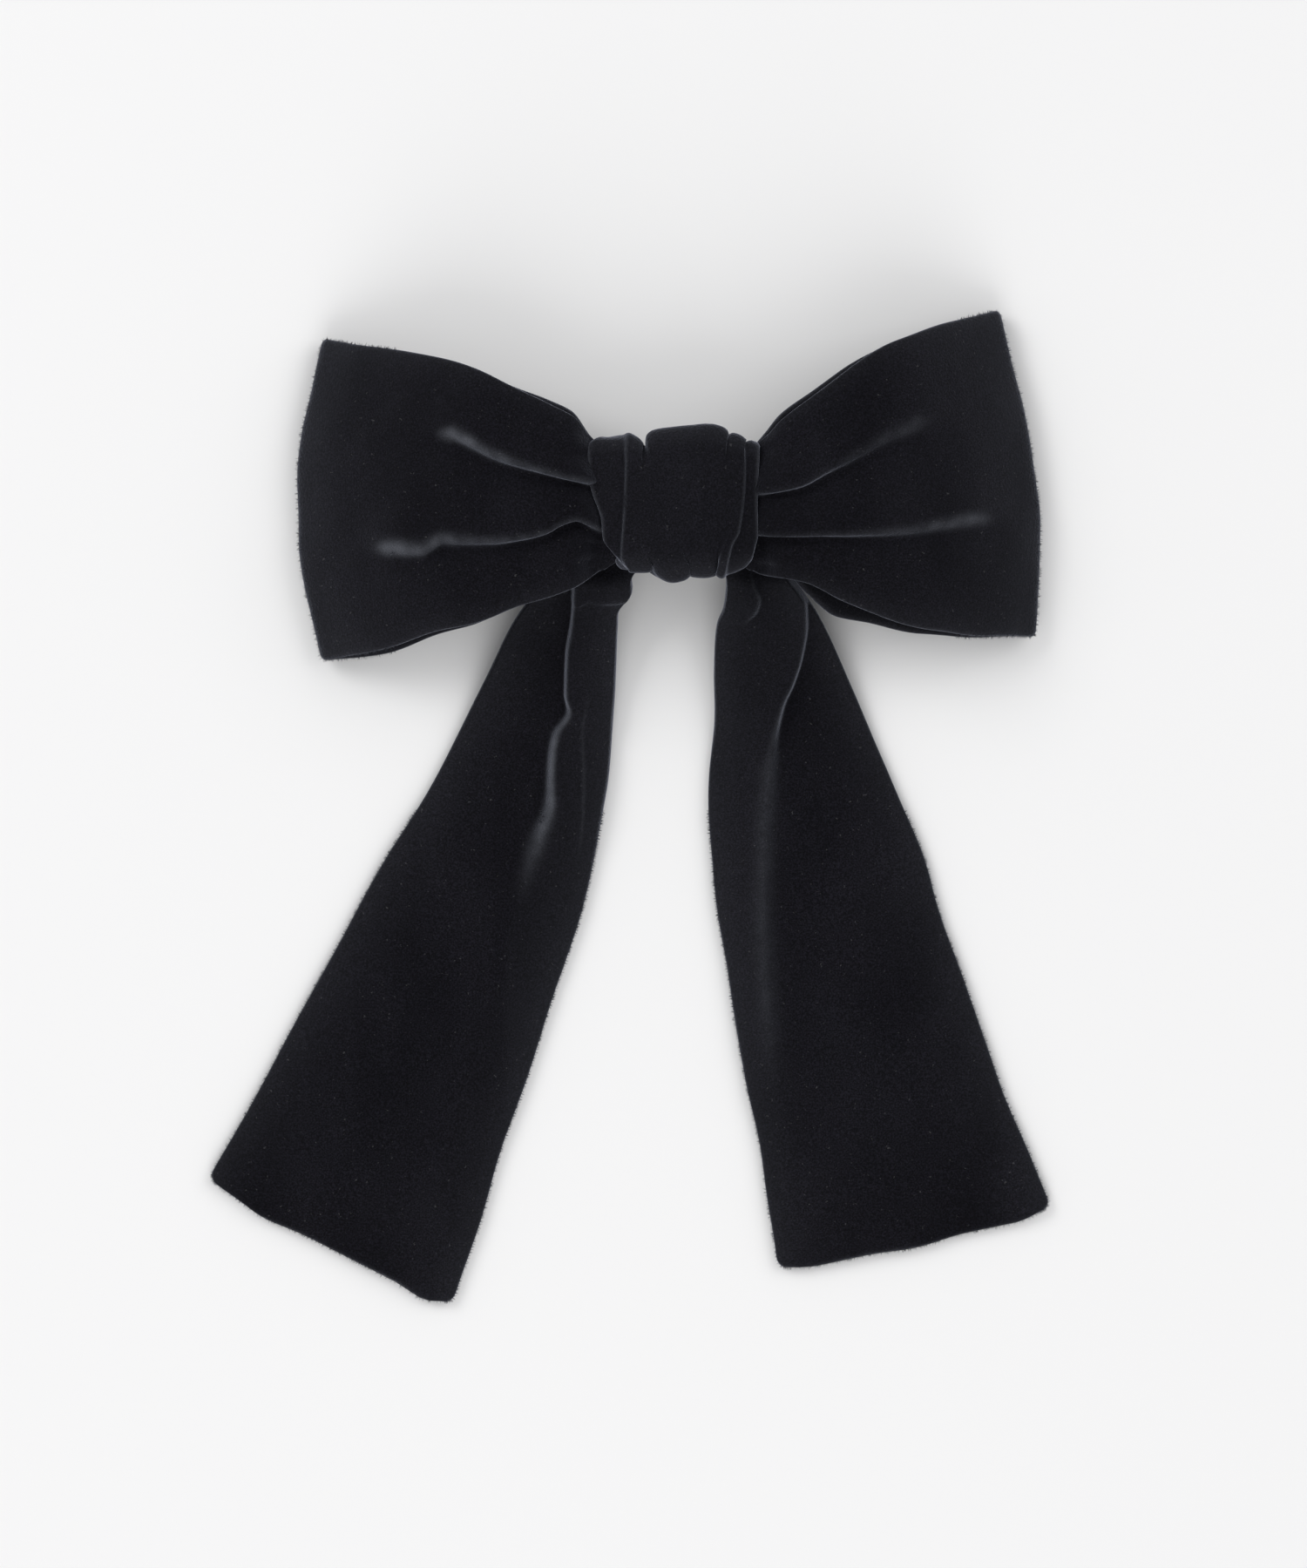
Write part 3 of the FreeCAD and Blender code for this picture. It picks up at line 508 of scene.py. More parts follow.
def swollen(x, y, z, across, front, seed):
    """The height of the cloth once it swells between knot and fold, is tucked in at the knot,
    and lies a little unevenly."""
    near = np.exp(-np.clip(x - 19, 0, None) / 16)
    crown = 1 - (2 * across - 1) ** 2
    room = smoothstep(17, 25, x) * (1 - smoothstep(78, 85, x))
    z = z + front * room * (crown * 2.2 - 1.6) * (0.5 + near)
    throat = 1 - smoothstep(18.5, 25, x)
    z = z - front * throat * 5.0 * np.clip(np.abs(y) / 15, 0, 1) ** 2
    return z + front * room * (0.5 * ripple(x, y, seed, 34) + 0.16 * ripple(x, y, seed + 1, 13))


def pleated(x, y, front, pleats, back_pleats):
    """The heights of all pleats, first as sharp as on the cloth's face and then as soft as in
    its middle. They are pressed flatter where the knot holds them."""
    sharp = np.zeros_like(y)
    soft = np.zeros_like(y)
    held = 0.3 + 0.7 * smoothstep(16.5, 22.5, x)
    for weight, group in ((front * held, pleats), ((1 - front) * held, back_pleats)):
        for line, height, width, way, _ in group:
            sharp = sharp + weight * pleat(x, y, line, height, width, way)
            soft = soft + weight * pleat(x, y, line, height, width, way, soft=LOOP_BEND)
    return sharp, soft


def loop(name, side, edges, fold, pleats, back_pleats, seed):
    """One loop, on the side -1 or 1 of the knot. edges are its front top, front bottom, back top
    and back bottom as curves of (reach, y), and fold is the line where it turns back. Each
    pleat is its line, its heights and widths at both ends, the side that stands high, and how
    much its crest shines."""
    places = across_places(LOOP_WIDTH, LOOP_COLUMNS)
    across = places[None, :]
    profile = loop_profile(LOOP_ROWS)
    x, y, z, front, fold_x = loop_grid(profile, places, edges, fold)
    z = swollen(x, y, z, across, front, seed)
    sharp, soft = pleated(x, y, front, pleats, back_pleats)
    # Painted highlights along the pleat crests, brightest where the pleats run out.
    crest = sum(painted_crest_highlight(x, y, line, width, way, shine)
                for line, _, width, way, shine in pleats)
    outward = 2 * front - 1
    z = z + soft * outward
    y = y + 0.3 * ripple(x, y * 0.4, seed + 2, 22) * smoothstep(24, 40, x)
    x = x + 0.2 * ripple(y, z, seed + 3, 26) * smoothstep(60, 84, x)
    edge = np.minimum(across, 1 - across) * LOOP_WIDTH
    # Painted sheen on the front layer: the crest highlights, lighter towards the outer fold and
    # along the edges. The inner layer is painted lighter near its edges, where it lies in shade.
    painted_sheen = front * (crest + 0.15 * np.exp(-np.clip(fold_x - x, 0, None) / 8)
                   + 0.08 * np.exp(-edge / 3))
    inner_painted_sheen = 0.10 * (1 - front) * np.exp(-edge / 5)
    mid = np.stack([side * x, y, z], axis=2)
    relief = sharp - soft
    if side < 0:
        mid, relief, painted_sheen, inner_painted_sheen = (grid[:, ::-1] for grid in (mid, relief, painted_sheen, inner_painted_sheen))
    obj = cloth_tube(name, mid, places, LOOP_WIDTH, LOOP_HALF, VELVET, relief=relief, painted_sheen=painted_sheen,
                     inner_painted_sheen=inner_painted_sheen)
    fibres = pile_fibres(obj, lambda p: np.abs(p[:, 0]) > LOOP_FIBRES_FROM, LOOP_FIBRES, seed + 5)
    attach(obj, "bow")
    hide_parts(name.replace("velvet_", ""))


def make_loops():
    loop(
        "velvet_left_loop", -1,
        edges=[
            [(11, 11), (17, 12.4), (20.7, 15.4), (23.9, 19.5), (28.9, 22.2), (34, 24.6),
             (45.3, 30.2), (55.3, 33.6), (65.3, 35.6), (80.9, 38.2)],
            [(11, -11.6), (13.5, -13), (19, -16.4), (24.1, -19.7), (35, -23.6), (43.3, -26.6),
             (55.3, -29.6), (67.3, -33.2), (81.3, -35.4)],
            [(11, 11), (17, 12.8), (19.8, 15.4), (23.9, 21.0), (28.9, 23.6), (35.3, 26.2),
             (45.3, 30.6), (55.3, 33.7), (65.3, 35.7), (80.9, 38.2)],
            [(11, -11), (19, -14), (25.3, -17.4), (35.3, -21.8), (43.3, -26.0), (55.3, -29.8),
             (67.3, -33.9), (81.3, -35.6)],
        ],
        fold=[(81.2, 38.5), (83.5, 28), (86.1, 16), (87.0, 4), (86.8, -8), (85.7, -16),
              (83.7, -26), (81.5, -35.6)],
        pleats=[
            ([(16, 3.2), (19.5, 4.1), (27.7, 6.2), (36.5, 8.9), (41.5, 10.5), (45.3, 12.3),
              (50, 14.8)], (3.4, 2.6), (0.45, 1.4), 1, 1.0),
            ([(15, -6.8), (18.5, -5.8), (23, -3.7), (27, -5.0), (30.2, -6.8), (36, -8.2),
              (41.5, -8.9), (48, -8.8), (52.8, -8.6), (58, -11.2), (65, -10.6)],
             (3.2, 2.6), (0.45, 1.8), 1, 0.8),
            ([(14, -9.4), (18, -8.6), (22, -8.4), (27, -9)], (1.6, 0.3), (0.4, 1.2), 1, 0),
            ([(14, -12), (18, -11.6), (23, -12.6), (30, -15)], (0.9, 0.2), (0.5, 1.6), 1, 0),
            ([(18, 10), (26, 12.6), (34, 16)], (0.9, 0.1), (0.8, 2.4), 1, 0),
            ([(40, -21), (52, -25.2), (64, -28.6), (74, -30.5)], (0.5, 0.6), (0.9, 1.2), 1, 0),
        ],
        back_pleats=[
            ([(16, 4), (30, 7), (42, 12)], (2.0, 0.4), (0.9, 2.6), 1, 0),
            ([(16, -5), (30, -7), (44, -12)], (2.0, 0.4), (0.9, 2.6), -1, 0),
        ],
        seed=11,
    )
    loop(
        "velvet_right_loop", 1,
        edges=[
            [(11, 11), (17, 12.2), (20.5, 14.6), (24.5, 19.0), (30.3, 23.6), (40.7, 31.4),
             (48, 36), (52.7, 38.1), (60.7, 41.2), (73.9, 44.9)],
            [(11, -11.4), (15.5, -14.3), (19.1, -16.2), (28.9, -18.2), (37.7, -22.6),
             (49.1, -26.8), (59.1, -29), (72, -30), (82.1, -30)],
            [(11, 11), (17, 12.8), (20, 15.8), (23.7, 20.4), (30.3, 25.4), (40.7, 32.8),
             (52.7, 38.7), (60.7, 41.4), (73.9, 44.9)],
            [(11, -11), (19, -14), (26, -16.6), (29.7, -20.4), (36.7, -25.8), (44.7, -27.2),
             (56.7, -29.3), (70, -30), (82.1, -30)],
        ],
        fold=[(73.9, 44.9), (76.5, 34), (79.5, 22), (82.1, 8), (83.4, -4), (83.3, -12),
              (82.7, -24), (82.3, -30.2)],
        pleats=[
            ([(17, 1.6), (20, 2.1), (24, 2.8), (28.3, 3.9), (34.6, 7.5), (41.5, 11.1),
              (47.8, 14.6), (54, 17.4)],
             (3.2, 1.8), (0.45, 1.8), 1, 0.22),
            ([(17, -6.9), (30, -7.3), (44.7, -7.1), (58, -5.5), (68, -4.0)],
             (3.2, 1.4), (0.45, 1.6), 1, 0.45),
            ([(20, 12), (26, 15), (34, 21), (44, 30)], (0.7, 0.3), (0.9, 2.0), 1, 0),
            ([(17, -12.4), (26, -14.4), (38, -18)], (0.8, 0.1), (0.6, 2.0), 1, 0),
        ],
        back_pleats=[
            ([(16, 4), (30, 8), (42, 14)], (2.0, 0.4), (0.9, 2.6), 1, 0),
            ([(16, -5), (30, -8), (44, -10)], (2.0, 0.4), (0.9, 2.6), -1, 0),
        ],
        seed=23,
    )


# ---------------------------------------------------------------- tails

TAIL_WIDTH = 63.4
TAIL_HALF = 1.3
TAIL_CORNER = 3.0
TAIL_ROWS, TAIL_COLUMNS = 300, 120
TAIL_FIBRES = 3000
TAIL_FIBRES_BELOW = -70.0


def tail_height(y):
    """The height of the tail's middle: behind the knot, down to the table, then flat on it."""
    table = TAIL_LOW + TAIL_HALF + 0.1
    return along([(-190, table), (-80, table), (-56, table), (-44, table + 1.5), (-34, 6.3),
                  (-24, 10.9), (-16, 14.9), (-9, 17.2), (0, 17.4), (9, 17.4)], y)


def folded_over(x, y, line, height, width, reach, side):
    """Cloth that lies double on one side of a line of (y, x) points. Height, width of the drop
    and the reach of the high side are given as curves over y."""
    centre = along(line, y)
    away = (x - centre) * side
    high = along(height, y)
    wide = along(width, y)
    far = along(reach, y)
    drop = 0.5 * (1 + np.tanh(away / wide))
    crest = drop * np.exp(-(np.clip(away, 0, None) / far) ** 2)
    foot = (1 - drop) * bump(away, 6.0)
    return high * (crest - 0.25 * foot)


def painted_fold_highlight(x, y, line, side, shine, spread, high_side_sheen):
    """A painted highlight on the crest of a fold, with its strength and spread over y, and how much
    painted sheen lies on the whole high side of it."""
    away = (x - along(line, y)) * side
    wide = along(spread, y)
    patchy = 1 + 0.25 * ripple(x, y, 6, 5)
    return (along(shine, y) * patchy * bump(away - 0.6 * wide, wide)
            + high_side_sheen * smoothstep(-0.3, 1.5, away) * smoothstep(-170, -110, y))


def rounded_corners(left, right, length):
    """How far each edge is drawn in near the end, so that the corners come out round."""
    gap = np.clip(TAIL_CORNER - (length[-1] - length), 0, TAIL_CORNER)
    inward = TAIL_CORNER - np.sqrt(TAIL_CORNER**2 - gap**2)
    across = right - left
    unit = across / np.linalg.norm(across, axis=1, keepdims=True)
    return left + unit * inward[:, None], right - unit * inward[:, None]


def even_edges(left_edge, right_edge, rows):
    """Both edges as curves of as many points, closer together towards the end."""
    left, right = smooth_curve(left_edge, 900), smooth_curve(right_edge, 900)
    length = lengths_along((left + right) / 2)
    finish = length[-1] - np.array([4.0, 3.0, 2.3, 1.7, 1.2, 0.8, 0.45, 0.2, 0.0])
    wanted = np.concatenate([np.linspace(0, length[-1] - 4.6, rows - len(finish)), finish])
    picked = [np.stack([np.interp(wanted, length, edge[:, k]) for k in (0, 1)], axis=1)
              for edge in (left, right)]
    return picked[0], picked[1], wanted


def tail_grid(left_edge, right_edge, end_bulge, places):
    """The tail laid flat. Gives x and y of its points, and each row's length from the top and
    its width."""
    left, right, length = even_edges(left_edge, right_edge, TAIL_ROWS)
    widths = np.linalg.norm(right - left, axis=1)
    direction = (left[-1] + right[-1]) / 2 - (left[-30] + right[-30]) / 2
    direction = direction / np.linalg.norm(direction)
    left, right = rounded_corners(left, right, length)
    across = places[None, :, None]
    flat = left[:, None] * (1 - across) + right[:, None] * across
    last = smoothstep(length[-1] - 45, length[-1], length)[:, None]
    bulge = along(end_bulge, places)[None, :]
    x = flat[..., 0] + direction[0] * last * bulge
    y = flat[..., 1] + direction[1] * last * bulge
    return x, y, length, widths


def tail(name, left_edge, right_edge, end_bulge, folds, creases, lumps, seed):
    """One tail. Its edges are (x, y) points from the knot down, and end_bulge is how far its end
    bulges, over its width. Each fold is its line, height, drop width, reach, high side, the
    strength and spread of the painted highlight on its crest, and the painted sheen over its
    high side; each lump is its x, y, radius and height."""
    places = across_places(TAIL_WIDTH, TAIL_COLUMNS)
    x, y, length, widths = tail_grid(left_edge, right_edge, end_bulge, places)
    z = tail_height(y)
    lying = smoothstep(-34, -60, y)
    across = places[None, :]
    rise = np.zeros_like(z)
    # Painted sheen: lighter towards the tail's edges; the folds add painted highlights on their
    # crests and high sides.
    painted_sheen = 0.10 * np.exp(-np.minimum(across, 1 - across) * widths[:, None] / 5)
    for line, height, drop, reach, way, shine, spread, high_side_sheen in folds:
        rise = rise + folded_over(x, y, line, height, drop, reach, way)
        painted_sheen = painted_sheen + painted_fold_highlight(x, y, line, way, shine, spread, high_side_sheen)
    for line, height, drop, way in creases:
        rise = rise + pleat(x, y, line, height, drop, way)
    for cx, cy, radius, height in lumps:
        rise = rise + height * bump(np.hypot(x - cx, y - cy), radius)
    crown = 1 - (2 * across - 1) ** 4
    rise = rise + lying * crown * (0.55 + 0.5 * ripple(x, y, seed, 52)
                                   + 0.10 * ripple(x, y, seed + 1, 18))
    under_knot = smoothstep(-12.5, -17, y)
    rise = np.maximum(rise, -0.3) * under_knot
    edge = np.minimum(places, 1 - places)[None, :]
    sway = 0.3 * ripple(y, x * 0.3, seed + 2, 34) * (1 - smoothstep(0, 0.2, edge))
    x = x + sway * lying
    mid = np.stack([x, y, z], axis=2)
    obj = cloth_tube(name, mid, places, TAIL_WIDTH, TAIL_HALF, VELVET, hems=(True, True),
                     relief=rise, painted_sheen=painted_sheen)
    fibres = pile_fibres(obj, lambda p: p[:, 1] < TAIL_FIBRES_BELOW, TAIL_FIBRES, seed + 5)
    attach(obj, "bow")
    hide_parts(name.replace("velvet_", ""))


def make_tails():
    tail(
        "velvet_left_tail",
        left_edge=[(-16, 7.6), (-16.6, -2), (-22, -10), (-35.6, -24), (-44.2, -40),
                   (-56.5, -64), (-68.7, -84), (-80.8, -106), (-94.8, -132), (-108.4, -156)],
        right_edge=[(-0.8, 7.6), (-1.2, -6), (-6, -12), (-10, -16), (-10.2, -19.6), (-13, -23.4),
                    (-13.5, -28), (-14.2, -44), (-15.3, -56), (-16.6, -68), (-19.3, -84),
                    (-25.3, -104), (-35.3, -134), (-42.3, -154), (-51.4, -184.5)],
        end_bulge=[(0, -0.6), (0.08, 0.2), (0.22, 1.4), (0.4, 0.8), (0.58, 0.9), (0.78, 1.0),
                   (0.92, 1.6), (1, 0)],
        folds=[
            ([(-14, -23.6), (-20.5, -23.8), (-25, -24.1), (-33.6, -25.4), (-43, -25.7),
              (-46.7, -25.0), (-52.2, -28.2), (-58, -29.2), (-68.2, -29.8), (-74.6, -32.1),
              (-79, -33.8), (-100, -40)],
             [(-14, 3.4), (-40, 3.6), (-60, 3.9), (-72, 3.5), (-80, 2.4), (-90, 1.2),
              (-108, 0.1), (-190, 0)],
             [(-14, 0.4), (-44, 0.4), (-48, 0.8), (-66, 1.0), (-74, 1.4), (-84, 2.4),
              (-190, 3)],
             [(-14, 14), (-50, 13), (-70, 12), (-190, 14)], 1,
             [(-14, 0.30), (-42, 0.38), (-48, 0.95), (-60, 0.85), (-70, 0.75), (-77, 0.4),
              (-84, 0.12), (-93, 0), (-190, 0)],
             [(-14, 0.4), (-44, 0.45), (-52, 0.75), (-64, 0.85), (-78, 1.9), (-190, 3)], 0.02),
            ([(-44, -20.5), (-51, -21.9), (-61, -21.6), (-75, -21.9), (-90, -25)],
             [(-40, 0), (-50, 0.45), (-70, 0.45), (-84, 0), (-190, 0)],
             [(-14, 0.5), (-190, 0.5)], [(-14, 5), (-190, 5)], 1,
             [(-40, 0), (-52, 0.09), (-72, 0.09), (-84, 0), (-190, 0)],
             [(-14, 0.4), (-190, 0.4)], 0),
        ],
        creases=[
            ([(-22.4, -21.4), (-20, -20.4), (-17.5, -20.9), (-14, -20.8)], (0.5, 0.8),
             (0.45, 0.45), 1),
        ],
        lumps=[(-13.5, -18.5, 3.6, 1.6)],
        seed=41,
    )
    tail(
        "velvet_right_tail",
        left_edge=[(0.8, 7.6), (1.2, -6), (8, -12), (11.1, -16), (10.8, -23), (9.1, -28),
                   (8.6, -38), (8.8, -50), (7.6, -62), (7.4, -72), (8.1, -84), (10.3, -98),
                   (12.7, -114), (15.7, -130), (18.7, -146), (21.7, -164), (23.3, -176)],
        right_edge=[(16, 7.6), (16.6, -2), (22, -12), (29, -20), (35.1, -30), (45.3, -53),
                    (55.3, -76), (60.4, -92), (67.8, -114), (75.9, -136), (86.7, -162)],
        end_bulge=[(0, 0.2), (0.1, 1.2), (0.3, 1.3), (0.5, 2.0), (0.7, 1.2), (0.9, 1.3),
                   (1, 0)],
        folds=[
            ([(-14, 29.4), (-20.8, 29.7), (-26.6, 30), (-33.6, 29), (-40, 27.1), (-46.4, 24.5),
              (-53.4, 23.1), (-60, 22.7), (-76, 21.7), (-94, 21.3), (-120, 22.6), (-150, 26)],
             [(-14, 3.2), (-40, 3.2), (-60, 2.6), (-100, 2.1), (-124, 1.1), (-146, 0), (-190, 0)],
             [(-14, 0.4), (-48, 0.5), (-56, 1.0), (-70, 1.5), (-100, 1.8), (-190, 2.2)],
             [(-14, 18), (-50, 12), (-64, 6.5), (-100, 6), (-190, 7)], -1,
             [(-14, 0.24), (-48, 0.32), (-58, 0.16), (-110, 0.12), (-140, 0), (-190, 0)],
             [(-14, 0.4), (-46, 0.5), (-54, 0.9), (-62, 2.0), (-110, 2.4), (-190, 2.6)], 0.02),
            ([(-14, 17), (-17, 17.8), (-19.5, 19.1), (-23.4, 18.1), (-25.3, 16.5), (-30, 14)],
             [(-14, 0.9), (-22, 1.0), (-25, 0.6), (-27.5, 0), (-60, 0), (-190, 0)],
             [(-14, 0.4), (-190, 0.5)], [(-14, 5), (-190, 5)], -1,
             [(-14, 0.1), (-24, 0.2), (-27, 0), (-190, 0)], [(-14, 0.4), (-190, 0.4)], 0),
        ],
        creases=[],
        lumps=[(17.2, -20, 3.4, 1.3), (12.5, -31, 4, -0.5)],
        seed=57,
    )


# ---------------------------------------------------------------- knot

WRAP_HALF = 1.0
WRAP_WIDTH = 45.0
WRAP_ROWS, WRAP_COLUMNS = 280, 160
# The front's outline: the upper and lower edges as (x, y), the left and right ones as (y, x).
UPPER_EDGE = [(-19.6, 13.8), (-17, 14.2), (-11.9, 14.3), (-9.4, 13.4), (-7.2, 11.8),
              (-5.8, 13.6), (-4.3, 14.9), (1.5, 15.8), (7.9, 16.3), (10.3, 15.6), (11.3, 14.4),
              (13.6, 13.8), (15.4, 12.6), (16.3, 12.9), (18.1, 13.6), (19.6, 13.2)]
LOWER_EDGE = [(-13, -13.4), (-11, -14.2), (-8.6, -14.3), (-6.2, -14.2), (-4.9, -14.0),
              (-3.6, -15.2), (-1, -16.4), (1.0, -15.8), (2.2, -14.6), (3.6, -15.1),
              (6.6, -15.7), (8.4, -15.2), (9.2, -14.6), (10.4, -15.0), (12.4, -15.2),
              (14.6, -14.4), (17, -12.6)]
LEFT_EDGE = [(-18, -11.6), (-14.4, -12.6), (-11.5, -15.1), (-9.3, -16.7), (-4.2, -17.2),
             (4.2, -19.7), (12, -20.3), (18, -20.3)]
RIGHT_EDGE = [(-18, 15.4), (-13.8, 16.6), (-11, 17.8), (-8, 18.4), (1.6, 18.3),
              (8, 18.6), (18, 19.0)]
# The two edges of the raised middle band, as (y, x).
BAND_LEFT = [(-18, -10.2), (-14.7, -10.7), (-11.8, -12.6), (-4.8, -12.1), (8, -11.6),
             (13.1, -11.9), (18, -12)]
BAND_RIGHT = [(-18, 10.6), (-9.9, 12.4), (-6.7, 14), (2.9, 15.3), (11.8, 15.6), (18, 15.8)]
# Each crease's place in x, its depth, and where it begins and ends in y.
FINE_CREASES = [(-4.4, 0.16, -12, 9), (0.2, 0.14, -13, -1), (9.4, 0.2, 0, 14),
                (-14.8, 0.14, -8, 12)]


def strip_edge(x, y, line, height, width, reach, side):
    """The edge of a strip of the wrap along a line of (y, x) points, higher on one side."""
    away = (x - along(line, y)) * side
    drop = 0.5 * (1 + np.tanh(away / width))
    return height * drop * np.exp(-np.clip(away, 0, None) / reach)


def wrap_relief(x, y, is_front, upright):
    """How far the wrap's face stands out: its raised middle band, the narrow strips on it, the
    notches at its upper and lower edges, and fine creases."""
    relief = strip_edge(x, y, BAND_LEFT, 1.5, 0.35, 30, 1)
    relief = relief + strip_edge(x, y, BAND_RIGHT, 1.3, 0.32, 30, -1)
    relief = relief + strip_edge(x, y, [(-18, 17.0), (0, 17.0), (18, 17.2)], 0.5, 0.3, 3, -1)
    lower = 1 - smoothstep(-7.5, -3, y)
    relief = relief + lower * strip_edge(x, y, [(-18, 8.6), (-14.4, 9.2), (-9.3, 10.8),
                                                (-5.8, 12.1), (0, 14)], 0.9, 0.3, 3.5, 1)
    relief = relief + lower * strip_edge(x, y, [(-18, 2.0), (-14.4, 2.1), (-11.2, 2.9),
                                                (-6.1, 2.5), (0, 2.6)], 0.8, 0.28, 3.5, -1)
    centre_part = bump(y, 13)
    relief = relief + 0.5 * centre_part * strip_edge(
        x, y, [(-18, 3.8), (-11.8, 4.7), (-6.7, 5), (-1.6, 6.6), (8, 6.9), (18, 7.2)],
        0.8, 0.35, 3, -1)
    upper = smoothstep(6, 13, y)
    relief = relief - upper * 1.6 * bump(x + 7.2 + 0.12 * (y - 13), 1.0)
    relief = relief - upper * 0.8 * bump(x - 11.2, 0.7)
    for place, depth, low, high in FINE_CREASES:
        line = place + 0.4 * np.sin(y / 4.5 + place)
        span = smoothstep(low - 2, low + 2, y) * (1 - smoothstep(high - 2, high + 2, y))
        relief = relief - depth * bump(x - line, 0.5) * span
    relief = relief - smoothstep(9, 15, -y) * 0.9 * (bump(x + 5.0, 1.0) + bump(x - 2.3, 0.8)
                                                     + bump(x - 9.1, 0.7))
    relief = (relief - 1.0) * is_front + 0.1 * ripple(x, y, 77, 7)
    sides = smoothstep(0.55, 0.95, np.abs(upright))
    return relief + (1 - is_front) * sides * 0.3 * ripple(x, y * 0.2, 83, 5)


def wrap_painted_sheen(x, y, is_front, upright, rim):
    """Painted sheen and highlights on the wrap: a light line along its rim, lighter where it turns
    down at its upper and lower edges, and light lines on the edges of the raised middle band."""
    painted_rim_highlight = bump(rim - 0.4, 0.5) * smoothstep(-13.5, -10.5, y)
    painted_sheen = is_front * (0.02 + 0.30 * painted_rim_highlight + 0.08 * smoothstep(0.7, 1, np.abs(upright)))
    above_lobes = is_front * smoothstep(-14.5, -11.5, y)
    painted_sheen = painted_sheen + above_lobes * 0.18 * bump(x - along(BAND_LEFT, y) - 0.2, 0.28)
    return painted_sheen + above_lobes * 0.16 * bump(x - along(BAND_RIGHT, y) + 0.2, 0.28)


def wrap_section(turn):
    """A rounded square: how far up in y, and how far to the front, the wrap is at each turn."""
    power = 2 / 3.4
    upright = np.sign(np.cos(turn)) * np.abs(np.cos(turn)) ** power
    forward = np.sign(np.sin(turn)) * np.abs(np.sin(turn)) ** power
    return upright[:, None], forward[:, None]


def knot():
    """The wrap: a pleated band round the gathered loops, with lobes at its lower edge."""
    places = across_places(WRAP_WIDTH, WRAP_COLUMNS)
    across = places[None, :]
    turn = np.linspace(0, 2 * math.pi, WRAP_ROWS, endpoint=False) - math.pi / 2
    upright, forward = wrap_section(turn)
    is_front = smoothstep(-0.3, 0.5, forward)
    top = along(UPPER_EDGE, -19.4 + 38.3 * across)
    bottom = along(LOWER_EDGE, -12.4 + 28.8 * across)
    y = np.where(upright > 0, top * upright, -bottom * upright)
    left_x = along(LEFT_EDGE, y)
    right_x = along(RIGHT_EDGE, y)
    x_front = left_x + (right_x - left_x) * across
    x_back = KNOT_HALF_LENGTH * (2 * across - 1) * (1 - 0.28 * smoothstep(0.5, 1, -upright))
    x = x_back * (1 - is_front) + x_front * is_front
    relief = wrap_relief(x, y, is_front, upright)
    middle = (KNOT_BACK + KNOT_TOP) / 2
    half_height = (KNOT_TOP - KNOT_BACK) / 2 - WRAP_HALF - 0.5
    height = half_height + is_front * (0.8 * (1 - (x / 20) ** 2) - 0.9)
    rim = np.minimum(across, 1 - across) * WRAP_WIDTH
    tuck = 1 - smoothstep(0, 2.6, rim)
    y = y * (1 - 0.07 * tuck)
    z = middle + forward * height * (1 - 0.09 * tuck)
    # Painted sheen and highlights on the wrap's front.
    painted_sheen = wrap_painted_sheen(x, y, is_front, upright, rim)
    mid = np.stack([x, y, z], axis=2)
    obj = cloth_tube("velvet_knot_wrap", mid, places, WRAP_WIDTH, WRAP_HALF, VELVET, closed=True,
                     relief=relief, painted_sheen=painted_sheen)
    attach(obj, "bow")
    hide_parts("knot_wrap")


# ---------------------------------------------------------------- felt pad


def felt_pad():
    """The strip of felt between velvet and clip: soft edges and a matted, uneven face."""
    low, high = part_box("back_pad")
    half_length = (high.x - low.x) / 2 / MM
    half_width = (high.y - low.y) / 2 / MM - 0.15
    top = high.z / MM
    ends = low.z / MM
    thick = 1.05
    sag = top - thick - ends
    rows, columns = 120, 30
    places = across_places(2 * half_width, columns)
    run = np.linspace(-half_length + 0.2, half_length - 0.2, rows)
    x, y = np.meshgrid(run, (2 * places - 1) * half_width, indexing="ij")
    y = y + 0.12 * ripple(x, y * 0.2, 91, 5)
    z = top - thick / 2 - sag * (x / half_length) ** 2 + 0.05 * ripple(x, y, 92, 3)
    mid = np.stack([x, y, z], axis=2)
    obj = cloth_tube("felt_back_pad", mid, places, 2 * half_width, thick / 2, FELT,
                     hems=(True, True))
    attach(obj, "bow")
    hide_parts("back_pad")


# ---------------------------------------------------------------- clip and thread


def finish_cad_nodes():
    """Materials for the clip and the thread, whose shapes are the CAD's own."""
    finishes = {
        "clip_base_plate": PLATED, "clip_clasp_arm": PLATED, "clip_hinge_pin": PLATED,
        "catch_bracket": PLATED, "catch_rivet": PLATED, "clip_tension_spring": SPRING,
        "catch_ear_top": SPRING, "catch_ear_bottom": SPRING, "binding_thread": THREAD,
        "tail_stitches": THREAD, "knot_seam_stitches": THREAD, "clip_lashing_left": THREAD,
        "clip_lashing_right": THREAD,
    }
    for name, material in finishes.items():
        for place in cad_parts[name].material_slots:
            place.material = material


# ---------------------------------------------------------------- stage


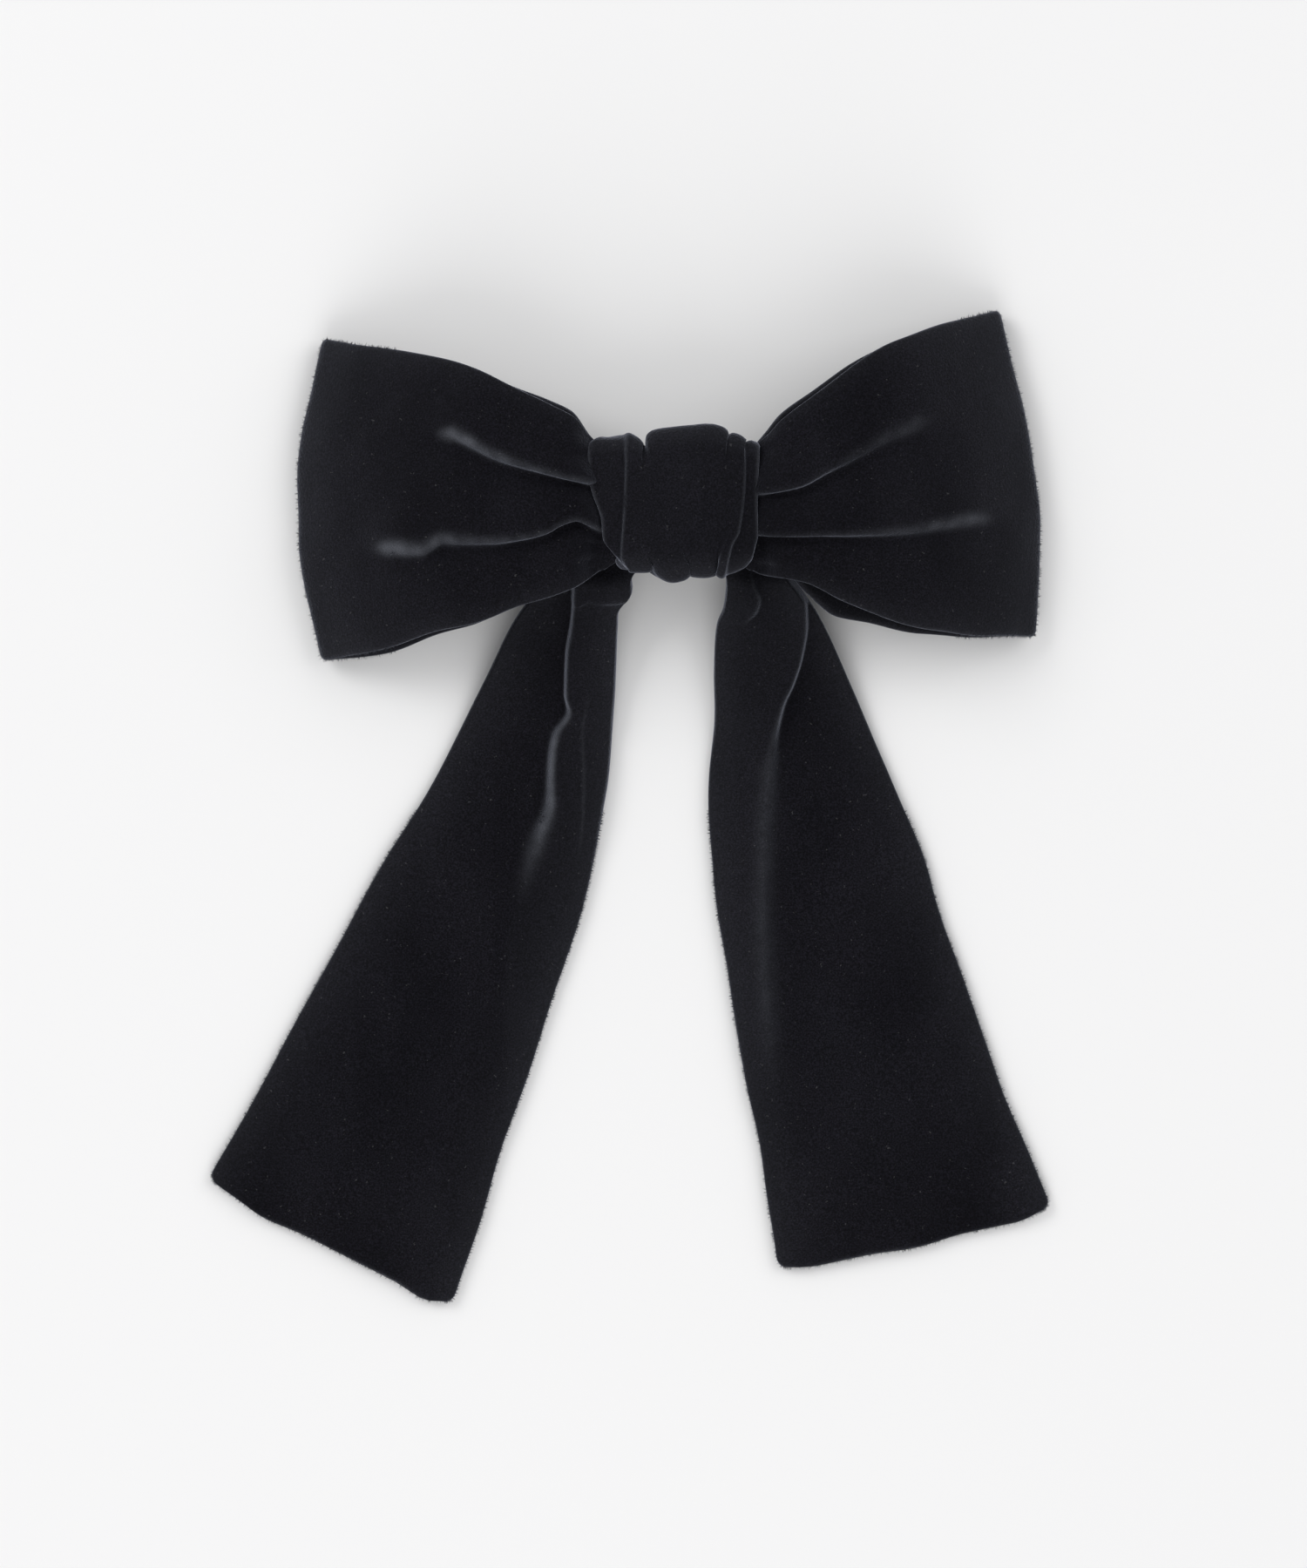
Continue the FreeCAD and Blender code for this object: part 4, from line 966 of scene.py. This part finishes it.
def floor():
    """A pale matte table that is seen through from below, so that the clip can be looked at."""
    gap = 0.0002
    bpy.ops.mesh.primitive_plane_add(size=8, location=(0, 0, cad_box[0][2] - gap))
    plane = bpy.context.object
    plane.name = "table"
    material, tree, shader = new_material("pale_table")
    shader.inputs["Base Color"].default_value = (0.842, 0.837, 0.832, 1)
    shader.inputs["Roughness"].default_value = 0.9
    shader.inputs["Specular IOR Level"].default_value = 0.1
    geometry = tree.nodes.new("ShaderNodeNewGeometry")
    clear = tree.nodes.new("ShaderNodeBsdfTransparent")
    mix = tree.nodes.new("ShaderNodeMixShader")
    output = tree.nodes["Material Output"]
    tree.links.new(geometry.outputs["Backfacing"], mix.inputs["Fac"])
    tree.links.new(shader.outputs["BSDF"], mix.inputs[1])
    tree.links.new(clear.outputs["BSDF"], mix.inputs[2])
    tree.links.new(mix.outputs["Shader"], output.inputs["Surface"])
    plane.data.materials.append(material)


def area_light(name, place, size, power):
    """A square soft light that points at the origin."""
    data = bpy.data.lights.new(name, "AREA")
    data.shape = "RECTANGLE"
    data.size = data.size_y = size
    data.energy = power
    light = bpy.data.objects.new(name, data)
    light.location = place
    light.rotation_euler = (-Vector(place)).to_track_quat("-Z", "Y").to_euler()
    bpy.context.scene.collection.objects.link(light)


def studio():
    """Even light from all round, and three large soft lights."""
    world = bpy.data.worlds.new("studio")
    world.use_nodes = True
    background = world.node_tree.nodes["Background"]
    background.inputs["Color"].default_value = (0.97, 0.98, 1, 1)
    background.inputs["Strength"].default_value = 0.56
    bpy.context.scene.world = world
    bpy.context.scene.view_settings.view_transform = "Standard"
    area_light("key", place=(-1.1, 0.8, 1.2), size=0.9, power=11)
    area_light("front_fill", place=(-0.1, -1.4, 1.1), size=1.4, power=12)
    area_light("right_fill", place=(1.2, 0.7, 1.3), size=1.3, power=9)


def camera():
    """Straight above the bow, from far enough away to look almost flat."""
    data = bpy.data.cameras.new("camera")
    data.lens = 160
    data.sensor_width = 36
    seen_height = 0.36
    distance = data.lens / data.sensor_width * seen_height
    obj = bpy.data.objects.new("camera", data)
    middle = Vector((0.0053, 0.0055, 0.010))
    obj.location = middle + Vector((0, 0, distance))
    bpy.context.scene.collection.objects.link(obj)
    bpy.context.scene.camera = obj


camera()
floor()
studio()
finish_cad_nodes()
make_loops()
make_tails()
knot()
felt_pad()

bpy.context.view_layer.update()
